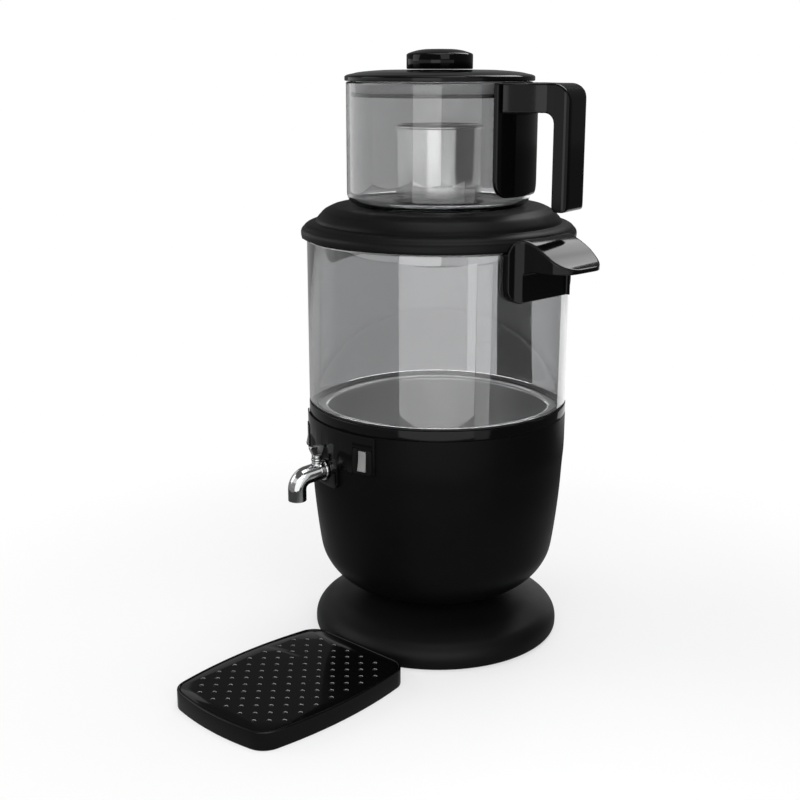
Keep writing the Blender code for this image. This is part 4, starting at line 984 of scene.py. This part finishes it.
fit(collar, satin_plastic, "collar_set", "satin_black_plastic", "collar")
coat_node(rubber, "collar_gasket")


# Side handles
# Two hoods of gloss black plastic moulded in one with the plates that hug the glass. Each is hollow
# below for the fingers, and is held up against the collar's lip from inside the hollow.

HOOD_SHARES = (
    (0.03, -0.244), (0.16, -0.205), (0.32, -0.130), (0.51, -0.010), (0.65, 0.095), (0.80, 0.190),
    (0.90, 0.237), (0.97, 0.266), (0.998, 0.310), (0.975, 0.345), (0.90, 0.360),
)
HOOD_UNDER_SHARES = ((0.26, 0.365), (0.13, 0.385), (0.075, 0.435), (0.055, 0.540), (0.055, 1.0))
HOOD_INNER_SHARE = -0.32
POCKET_ROOF_SHARE = 0.40
HOOD_WAIST_SHARE = 0.26
HOOD_FLANK_SHARES = (1.0, 0.97, 0.93, 0.90, 0.86)
HOOD_FLARE_SHARES = ((0.45, 0.25), (0.15, 0.6))
HANDLE_REACH = 0.0360
HANDLE_WIDTH = 0.047
HANDLE_SKIRT_WIDTH = 0.067
HANDLE_SKIRT_HEIGHT = 0.034
HANDLE_SKIRT_WALL = 0.0020
HANDLE_RISE = 0.0083
HANDLE_SKIN = 0.0018
HANDLE_POCKET_WIDTH = 0.050
HANDLE_CORNER = 0.010
HANDLE_TIP_CORNER = 0.0175
HANDLE_GLASS_GAP = 0.0007
POCKET_BEVEL = 0.002
HANDLE_SEAT_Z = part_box("side_handle_near")[1].z - HANDLE_RISE
COLLAR_TURN = math.radians(103)


def handle_point(out, drop):
    """A place on the handle seen from its side, from shares of its reach and of its drop."""
    return collar_radius + HANDLE_REACH * out, HANDLE_SEAT_Z - HANDLE_SKIRT_HEIGHT * drop


def hood_plan():
    """The hood from above: round the glass at the sides, drawn in to the grip, round at the tip."""
    half = HANDLE_WIDTH / 2
    skin = collar_radius + HANDLE_SKIN
    waist = collar_radius + HANDLE_REACH * HOOD_WAIST_SHARE
    tip = collar_radius + HANDLE_REACH - 0.0005
    flank = [HANDLE_SKIRT_WIDTH / 2 * share for share in HOOD_FLANK_SHARES]
    skirt = [(x, -math.sqrt(skin**2 - x**2)) for x in flank]
    side, front = skirt[-1]
    flare = [
        (half + (side - half) * across, front - (waist + front) * out)
        for across, out in HOOD_FLARE_SHARES
    ]
    drawn_in = through([skirt[-1], *flare, (half, -waist), (half, -waist - 0.004)], 5)
    corner = HANDLE_TIP_CORNER
    right = [(flank[0], -collar_radius / 2), *skirt[:-1], *drawn_in]
    return mirrored(right + arc((half - corner, corner - tip), corner, 0, -90, 14))


def hood_front():
    """The plate from the front, with its four round corners."""
    half = HANDLE_SKIRT_WIDTH / 2
    corner = HANDLE_CORNER
    bottom = handle_point(0, 1)[1]
    top = HANDLE_SEAT_Z + HANDLE_RISE
    lower = arc((half - corner, bottom + corner), corner, -90, 0, 10)
    return mirrored(lower + arc((half - corner, top - corner), corner, 0, 90, 10))


def side_handle(name, angle):
    """A hood with its plate, cut to the glass and the collar's lip, hollow below."""
    below = handle_point(0, 1)[1] - OVERSHOOT
    above = collar_high.z
    reach = collar_radius + HANDLE_REACH + OVERSHOOT
    hood_line = through([handle_point(*point) for point in HOOD_SHARES], 5)
    hood_line += through([handle_point(*point) for point in HOOD_UNDER_SHARES], 5)
    inner = handle_point(HOOD_INNER_SHARE, 0)[0]
    outline = [(inner, hood_line[0][1]), *hood_line, (inner, hood_line[-1][1])]
    half = HANDLE_SKIRT_WIDTH / 2
    hood = raised(name, outline, -half, half, "side")
    cut(hood, raised("hood_plan", hood_plan(), below, above), "INTERSECT")
    cut(hood, raised("hood_front", hood_front(), 0, reach, "front"), "INTERSECT")
    back = tank_high.x + HANDLE_GLASS_GAP
    cut(hood, drum("glass_clearance", back, below, above))
    cut(hood, drum("lip_clearance", collar_radius + 0.0005, HANDLE_SEAT_Z, above))
    wall = back + HANDLE_SKIRT_WALL
    roof = handle_point(0, POCKET_ROOF_SHARE)[1]
    pocket = [
        (wall, below), (wall, roof - POCKET_BEVEL), (wall + POCKET_BEVEL, roof), (reach, roof),
        (reach, below),
    ]
    half_pocket = HANDLE_POCKET_WIDTH / 2
    cut(hood, raised("pocket", pocket, -half_pocket, half_pocket, "side"))
    cast(hood, 0.00045, 14)
    return turn_round(hood, angle)


for side, angle in (("near", COLLAR_TURN), ("far", COLLAR_TURN - math.pi)):
    hood = side_handle("side_handle_dressed_" + side, angle)
    fit(hood, gloss_plastic, "collar_set", "gloss_black_plastic", "side_handle_" + side)


# Teapot
# A straight-walled glass with a light smoke tint, blown with a rounded foot. Its rim is drawn out
# opposite the handle to a small pouring lip.

TEAPOT_TURN = math.radians(114)
TEAPOT_WALL = 0.0025
TEAPOT_CORNER = 0.009
LIP_REACH = 0.005
LIP_HEIGHT = 0.014
LIP_HALF_ANGLE = math.radians(15)
LIP_STEPS = 8

pot_glass = smoked("smoked_teapot_glass", (0.435, 0.437, 0.44))
pot_low, pot_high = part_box("teapot_glass")
pot_radius = pot_high.y
lip_levels = [pot_high.z - LIP_HEIGHT * i / LIP_STEPS for i in range(1, LIP_STEPS + 1)]
pot_corner = (pot_radius - TEAPOT_CORNER, pot_low.z + TEAPOT_CORNER)
rim_half = TEAPOT_WALL / 2
teapot = turned(
    "teapot_dressed",
    [(0, pot_low.z)]
    + arc(pot_corner, TEAPOT_CORNER, -90, 0, 10)
    + [(pot_radius, level) for level in lip_levels[::-1]]
    + arc((pot_radius - rim_half, pot_high.z - rim_half), rim_half, 0, 180, 8)
    + [(pot_radius - TEAPOT_WALL, level) for level in lip_levels]
    + arc(pot_corner, TEAPOT_CORNER - TEAPOT_WALL, 0, -90, 10)
    + [(0, pot_low.z + TEAPOT_WALL)],
    192,
)
away = Vector((math.sin(TEAPOT_TURN + math.pi), -math.cos(TEAPOT_TURN + math.pi), 0))
lip_start = pot_high.z - LIP_HEIGHT
for vert in teapot.data.vertices:
    flat = Vector((vert.co.x, vert.co.y, 0))
    if vert.co.z > lip_start and flat.length > pot_radius / 2 and flat.angle(away) < LIP_HALF_ANGLE:
        pull = math.cos(flat.angle(away) / LIP_HALF_ANGLE * math.pi / 2) ** 2
        vert.co += away * LIP_REACH * pull * ((vert.co.z - lip_start) / LIP_HEIGHT) ** 2
fit(teapot, pot_glass, "teapot", "glass", "teapot_glass")


# Teapot handle
# A hook of gloss black plastic: a curved plate bonded to the glass, a bridge at the rim, and a flat
# grip that hangs free, wide enough for three fingers.

GRIP_OUT = 0.1073
GRIP_THICKNESS = 0.0112
GRIP_WIDTH = 0.028
GRIP_DROP = 0.083
GRIP_CORNER = 0.012
BRIDGE_HEIGHT = 0.019
PLATE_HEIGHT = 0.075
PLATE_WIDTH = 0.056
PLATE_THICKNESS = 0.003
PLATE_CORNER = 0.010
BRIDGE_BEND = 0.0068

plate_inner = pot_radius + HANDLE_GLASS_GAP
plate_skin = plate_inner + PLATE_THICKNESS
handle_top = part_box("teapot_handle")[1].z
plate_bottom = handle_top - PLATE_HEIGHT
plate = turned(
    "teapot_handle_dressed",
    [(plate_inner, plate_bottom), (plate_skin, plate_bottom), (plate_skin, handle_top),
     (plate_inner, handle_top)],
    256,
)
half_plate = PLATE_WIDTH / 2
corner_place = (half_plate - PLATE_CORNER, plate_bottom + PLATE_CORNER)
plate_front = mirrored(
    arc(corner_place, PLATE_CORNER, -90, 0, 10) + [(half_plate, handle_top + OVERSHOOT)]
)
cut(plate, raised("plate_front", plate_front, 0, plate_skin + OVERSHOOT, "front"), "INTERSECT")
finger = GRIP_OUT - GRIP_THICKNESS
bridge_under = handle_top - BRIDGE_HEIGHT
grip_bottom = handle_top - GRIP_DROP
grip_tip = GRIP_THICKNESS * 0.36
hook_side = (
    [(plate_inner, handle_top)]
    + arc((GRIP_OUT - GRIP_CORNER, handle_top - GRIP_CORNER), GRIP_CORNER, 90, 0, 10)
    + arc((GRIP_OUT - grip_tip, grip_bottom + grip_tip), grip_tip, 0, -90, 6)
    + arc((finger + grip_tip, grip_bottom + grip_tip), grip_tip, -90, -180, 6)
    + arc((finger - BRIDGE_BEND, bridge_under - BRIDGE_BEND), BRIDGE_BEND, 0, 90, 8)
    + [(plate_skin - 0.001, bridge_under), (plate_inner, bridge_under)]
)
half_grip = GRIP_WIDTH / 2
bridge_line = through(
    [
        (half_plate, -plate_inner),
        (half_plate - 0.004, -plate_skin - 0.004),
        (half_grip + 0.0045, -plate_skin - 0.012),
        (half_grip, -finger + 0.006),
        (half_grip, -finger),
    ],
    5,
)
hook_plan = mirrored(
    [(half_plate, -plate_inner * math.cos(half_plate / plate_inner)), *bridge_line]
    + arc((half_grip - grip_tip, grip_tip - GRIP_OUT), grip_tip, 0, -90, 6)
)
hook_below, hook_above = grip_bottom - OVERSHOOT, handle_top + OVERSHOOT
hook = raised("hook", hook_side, -half_plate, half_plate, "side")
cut(hook, raised("hook_plan", hook_plan, hook_below, hook_above), "INTERSECT")
cut(hook, drum("pot_clearance", plate_inner, hook_below, hook_above))
cut(plate, hook, "UNION")
cast(plate, 0.0005, 12)
turn_round(plate, TEAPOT_TURN)
fit(plate, gloss_plastic, "teapot", "gloss_black_plastic", "teapot_handle")


# Lid
# A shallow dome of gloss black plastic that covers the rim. A clear skirt is pressed into its
# underside and carries a soft seal, and a round knob is screwed on from below.

LID_CROWN_SHARES = (
    (0.0, 1.0), (0.18, 1.0), (0.35, 0.99), (0.60, 0.92), (0.82, 0.64), (0.93, 0.30), (0.975, 0.12),
    (0.995, -0.06),
)
LID_EDGE = 0.0035
LID_ROUND = 0.0008
SKIRT_WALL = 0.002
SKIRT_SLOT = 0.0003

lid_low, lid_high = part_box("lid_disc")
lid_radius = lid_high.x
lid_edge_z = lid_low.z + LID_EDGE
skirt_low, skirt_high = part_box("lid_skirt")
skirt_out = skirt_high.x
skirt_in = skirt_out - SKIRT_WALL
slot_out = skirt_out + SKIRT_SLOT
slot_in = skirt_in - SKIRT_SLOT
crown_line = from_shares(LID_CROWN_SHARES, 0, lid_radius, lid_edge_z, lid_high.z)
lid = turned(
    "lid_disc_dressed",
    [
        *crown_line,
        *eased(
            [crown_line[-1] + (0,), (lid_radius, lid_edge_z - LID_ROUND, LID_ROUND),
             (lid_radius, lid_low.z, LID_ROUND), (slot_out, lid_low.z, 0)]
        )[1:],
        (slot_out, lid_low.z + 0.0012),
        (slot_in, lid_low.z + 0.0012),
        (slot_in, lid_low.z),
        (0, lid_low.z),
    ],
    192,
)
fit(lid, gloss_plastic, "lid", "gloss_black_plastic", "lid_disc")

skirt_glass = smoked("frosted_skirt", (0.90, 0.905, 0.91), 0.35, 0.15, clear=0.70)
skirt = ring(
    "lid_skirt_dressed", skirt_out, skirt_in, skirt_low.z, skirt_high.z,
    (0.0007, 0.0004, 0.0004, 0.0007),
)
fit(skirt, skirt_glass, "lid", "glass", "lid_skirt")

SEAL_ROUND = 0.0006
seal_low, seal_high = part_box("lid_gasket")
seal_shoulder = seal_high.x - SEAL_ROUND
seal_corners = [
    (slot_out, seal_low.z, 0.0003), (seal_shoulder, seal_low.z, SEAL_ROUND),
    (seal_high.x, (seal_low.z + seal_high.z) / 2, SEAL_ROUND),
    (seal_shoulder, seal_high.z, SEAL_ROUND), (slot_out, seal_high.z, 0.0003),
]
seal = turned("lid_gasket_dressed", eased(seal_corners))
fit(seal, rubber, "lid", "rubber", "lid_gasket")

KNOB_DOME = 0.0035
KNOB_SHARES = (
    (0.0, 1.0), (0.20, 0.985), (0.45, 0.93), (0.66, 0.74), (0.80, 0.50), (0.92, 0.25),
    (0.975, 0.07), (1.0, -0.15),
)
knob_low, knob_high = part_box("lid_knob")
knob_radius = knob_high.x
shoulder_z = knob_high.z - KNOB_DOME
dome_line = from_shares(KNOB_SHARES, 0, knob_radius, shoulder_z, knob_high.z)
knob_foot = [
    (knob_radius, knob_low.z + 0.0006), (knob_radius - 0.0005, knob_low.z), (0, knob_low.z)
]
knob = turned("lid_knob_dressed", dome_line + knob_foot, 128)
fit(knob, gloss_plastic, "lid", "gloss_black_plastic", "lid_knob")


# Infuser
# A cup deep-drawn in thin steel with a rolled rim, brushed round its outside, and pressed on to a
# clear flared foot that stands on the teapot's floor.

CUP_BASE = 0.0302
CUP_TOP = 0.031
CUP_WALL = 0.0008
CUP_CORNER = 0.0030
RIM_TUBE = 0.0012

cup_steel = brushed("infuser_steel", (0.92, 0.92, 0.91), 0.17, 1800, 12, 0.000002, 0.025)
cup_low, cup_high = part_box("infuser_cup")
stand_low, stand_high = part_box("infuser_foot")
cup_corner = (CUP_BASE - CUP_CORNER, cup_low.z + CUP_CORNER)
rim_foot = cup_high.z - 2 * RIM_TUBE
cup = turned(
    "infuser_cup_dressed",
    [(0, cup_low.z)]
    + arc(cup_corner, CUP_CORNER, -90, 0)
    + [(CUP_TOP - 0.0001, rim_foot)]
    + arc((CUP_TOP, cup_high.z - RIM_TUBE), RIM_TUBE, -80, 200, 16)
    + [(CUP_TOP - CUP_WALL, rim_foot)]
    + arc(cup_corner, CUP_CORNER - CUP_WALL, 0, -90)
    + [(0, cup_low.z + CUP_WALL)],
)
fit(cup, cup_steel, "infuser", "brushed_steel", "infuser_cup")

clear_stand = smoked("clear_infuser_foot", (0.80, 0.805, 0.81), 0.03, 0.15)
stand_corners = [
    (stand_high.x, stand_low.z, 0.0006), (CUP_BASE, stand_high.z, 0.0008),
    (CUP_BASE - 0.005, stand_high.z, 0.0005), (CUP_BASE - 0.0025, stand_low.z, 0.0006),
]
stand = turned("infuser_foot_dressed", eased(stand_corners))
fit(stand, clear_stand, "infuser", "glass", "infuser_foot")


# Drip tray
# A shallow pan of gloss black plastic with a straight back against the foot and bowed sides. A
# ledge inside its rim holds the pierced plate, and it can be slid away and emptied.

TRAY_LENGTH = 0.1368
TRAY_END_WIDTH = 0.096
TRAY_SIDE_BULGE = 0.0045
TRAY_FRONT_BULGE = 0.003
TRAY_CORNER = 0.015
TRAY_WALL = 0.0018
TRAY_FLOOR = 0.002
TRAY_LEDGE = 0.0016
TRAY_BACK = foot_radius + 0.0004
TRAY_SHIFT = 0.0098
TRAY_TURN = math.radians(14.8)
TURN_STEP = 0.12


def tray_outline(inward):
    """The tray from above, drawn in by this much, with round corners."""
    half = TRAY_END_WIDTH / 2 - TRAY_CORNER
    back = TRAY_BACK + TRAY_CORNER
    front = TRAY_BACK + TRAY_LENGTH - TRAY_CORNER - TRAY_FRONT_BULGE
    bows = [(i / 12, 1 - (i / 6 - 1) ** 2) for i in range(13)]
    right = [
        (half + TRAY_SIDE_BULGE * bow, -(back + (front - back) * share))
        for share, bow in bows[::-1]
    ]
    across = [
        (half * (2 * share - 1), -(front + TRAY_FRONT_BULGE * bow)) for share, bow in bows[1:-1]
    ]
    core = [Vector((x + TRAY_SHIFT, y)) for x, y in mirrored(right) + across]
    points = []
    for i, corner in enumerate(core):
        before = (corner - core[i - 1]).normalized()
        after = (core[(i + 1) % len(core)] - corner).normalized()
        out = Vector((before.y, -before.x)) * (TRAY_CORNER - inward)
        bend = -before.angle_signed(after)
        count = max(1, math.ceil(bend / TURN_STEP))
        shares = [k / count for k in range(count + 1)] if count > 1 else [0.5]
        points += [tuple(corner + Matrix.Rotation(bend * share, 2) @ out) for share in shares]
    return points


tray_low, tray_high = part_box("drip_tray")
grille_low, grille_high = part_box("drip_grille")
tray_ledge = grille_low.z - 0.0003
tray = raised("drip_tray_dressed", tray_outline(0), tray_low.z, tray_high.z)
above = tray_high.z + OVERSHOOT
cut(tray, raised("plate_recess", tray_outline(TRAY_WALL), tray_ledge, above))
cut(tray, raised("pan", tray_outline(TRAY_WALL + TRAY_LEDGE), tray_low.z + TRAY_FLOOR, above))
soften(tray, 0.0008, 3, 50)
turn_round(tray, TRAY_TURN)
fit(tray, gloss_plastic, "tray", "gloss_black_plastic", "drip_tray")


# Grille
# A flat plate pierced with crossing rows of small round holes, enamelled gloss black on top. Each
# hole is dimpled round its top edge. Its wall and dimple take a grey metal finish, a painted
# highlight that stands in for the glints on the hole rims and shows as light rings.

GRILLE_PITCH = 0.0097
GRILLE_HOLE = 0.0027
GRILLE_MARGIN = 0.008
DIMPLE = 0.00030
DIMPLE_OVERLAP = 0.0001
HOLE_OVERLAP = 0.001
HOLE_SIDES = 14
LEVEL = 0.9

# A grey metal for the hole walls and dimples: painted highlight for the glints on the hole rims.
rim_glint_metal = brushed("painted_rim_glint", (0.24, 0.24, 0.24), 0.42, 3000, 3000, 0.00002)


def is_inside(place, outline):
    """Whether a place lies within an outline that runs anticlockwise and bends one way."""
    edges = zip(outline, outline[1:] + outline[:1])
    return all((b - a).cross(place - a) > 0 for a, b in edges)


def hole_places():
    """Crossing rows of holes, each row half a step along from the last, kept inside the margin."""
    outline = [Vector(point) for point in tray_outline(GRILLE_MARGIN)]
    step = GRILLE_PITCH / math.sqrt(2)
    middle = TRAY_BACK + TRAY_LENGTH / 2
    reach = math.ceil(TRAY_LENGTH / 2 / step)
    places = []
    for i in range(-reach, reach + 1):
        for j in range(-reach, reach + 1):
            place = Vector((TRAY_SHIFT + i * step, -middle + j * step))
            if (i + j) % 2 == 0 and is_inside(place, outline):
                places.append(place)
    return places


def punches(name, lower_radius, upper_radius, low, high):
    """A tool for every hole, wider or narrower at the top."""
    bm = bmesh.new()
    for place in hole_places():
        bmesh.ops.create_cone(
            bm, cap_ends=True, segments=HOLE_SIDES, radius1=lower_radius, radius2=upper_radius,
            depth=high - low, matrix=Matrix.Translation((*place, (low + high) / 2)),
        )
    return to_piece(name, bm)


plate_outline = tray_outline(TRAY_WALL + 0.0005)
grille = raised("drip_grille_dressed", plate_outline, grille_low.z, grille_high.z)
soften(grille, 0.0003, 2, 50)
hole_radius = GRILLE_HOLE / 2
holes = punches(
    "holes", hole_radius, hole_radius, grille_low.z - HOLE_OVERLAP, grille_high.z + HOLE_OVERLAP
)
cut(grille, holes)
dimples = punches(
    "dimples", hole_radius - DIMPLE_OVERLAP, hole_radius + DIMPLE + DIMPLE_OVERLAP,
    grille_high.z - DIMPLE - DIMPLE_OVERLAP, grille_high.z + DIMPLE_OVERLAP,
)
cut(grille, dimples)
turn_round(grille, TRAY_TURN)
fit(grille, gloss_plastic, "grille", "gloss_black_plastic", "drip_grille")
# The hole walls and dimples take the grey metal, which paints the rim glints in as light rings.
grille.data.materials.append(rim_glint_metal)
plate_edge = [Matrix.Rotation(TRAY_TURN, 2) @ Vector(p) for p in tray_outline(TRAY_WALL + 0.003)]
for face in grille.data.polygons:
    if is_inside(face.center.to_2d(), plate_edge) and abs(face.normal.z) < LEVEL:
        face.material_index = 1
shade(grille.data, 30)
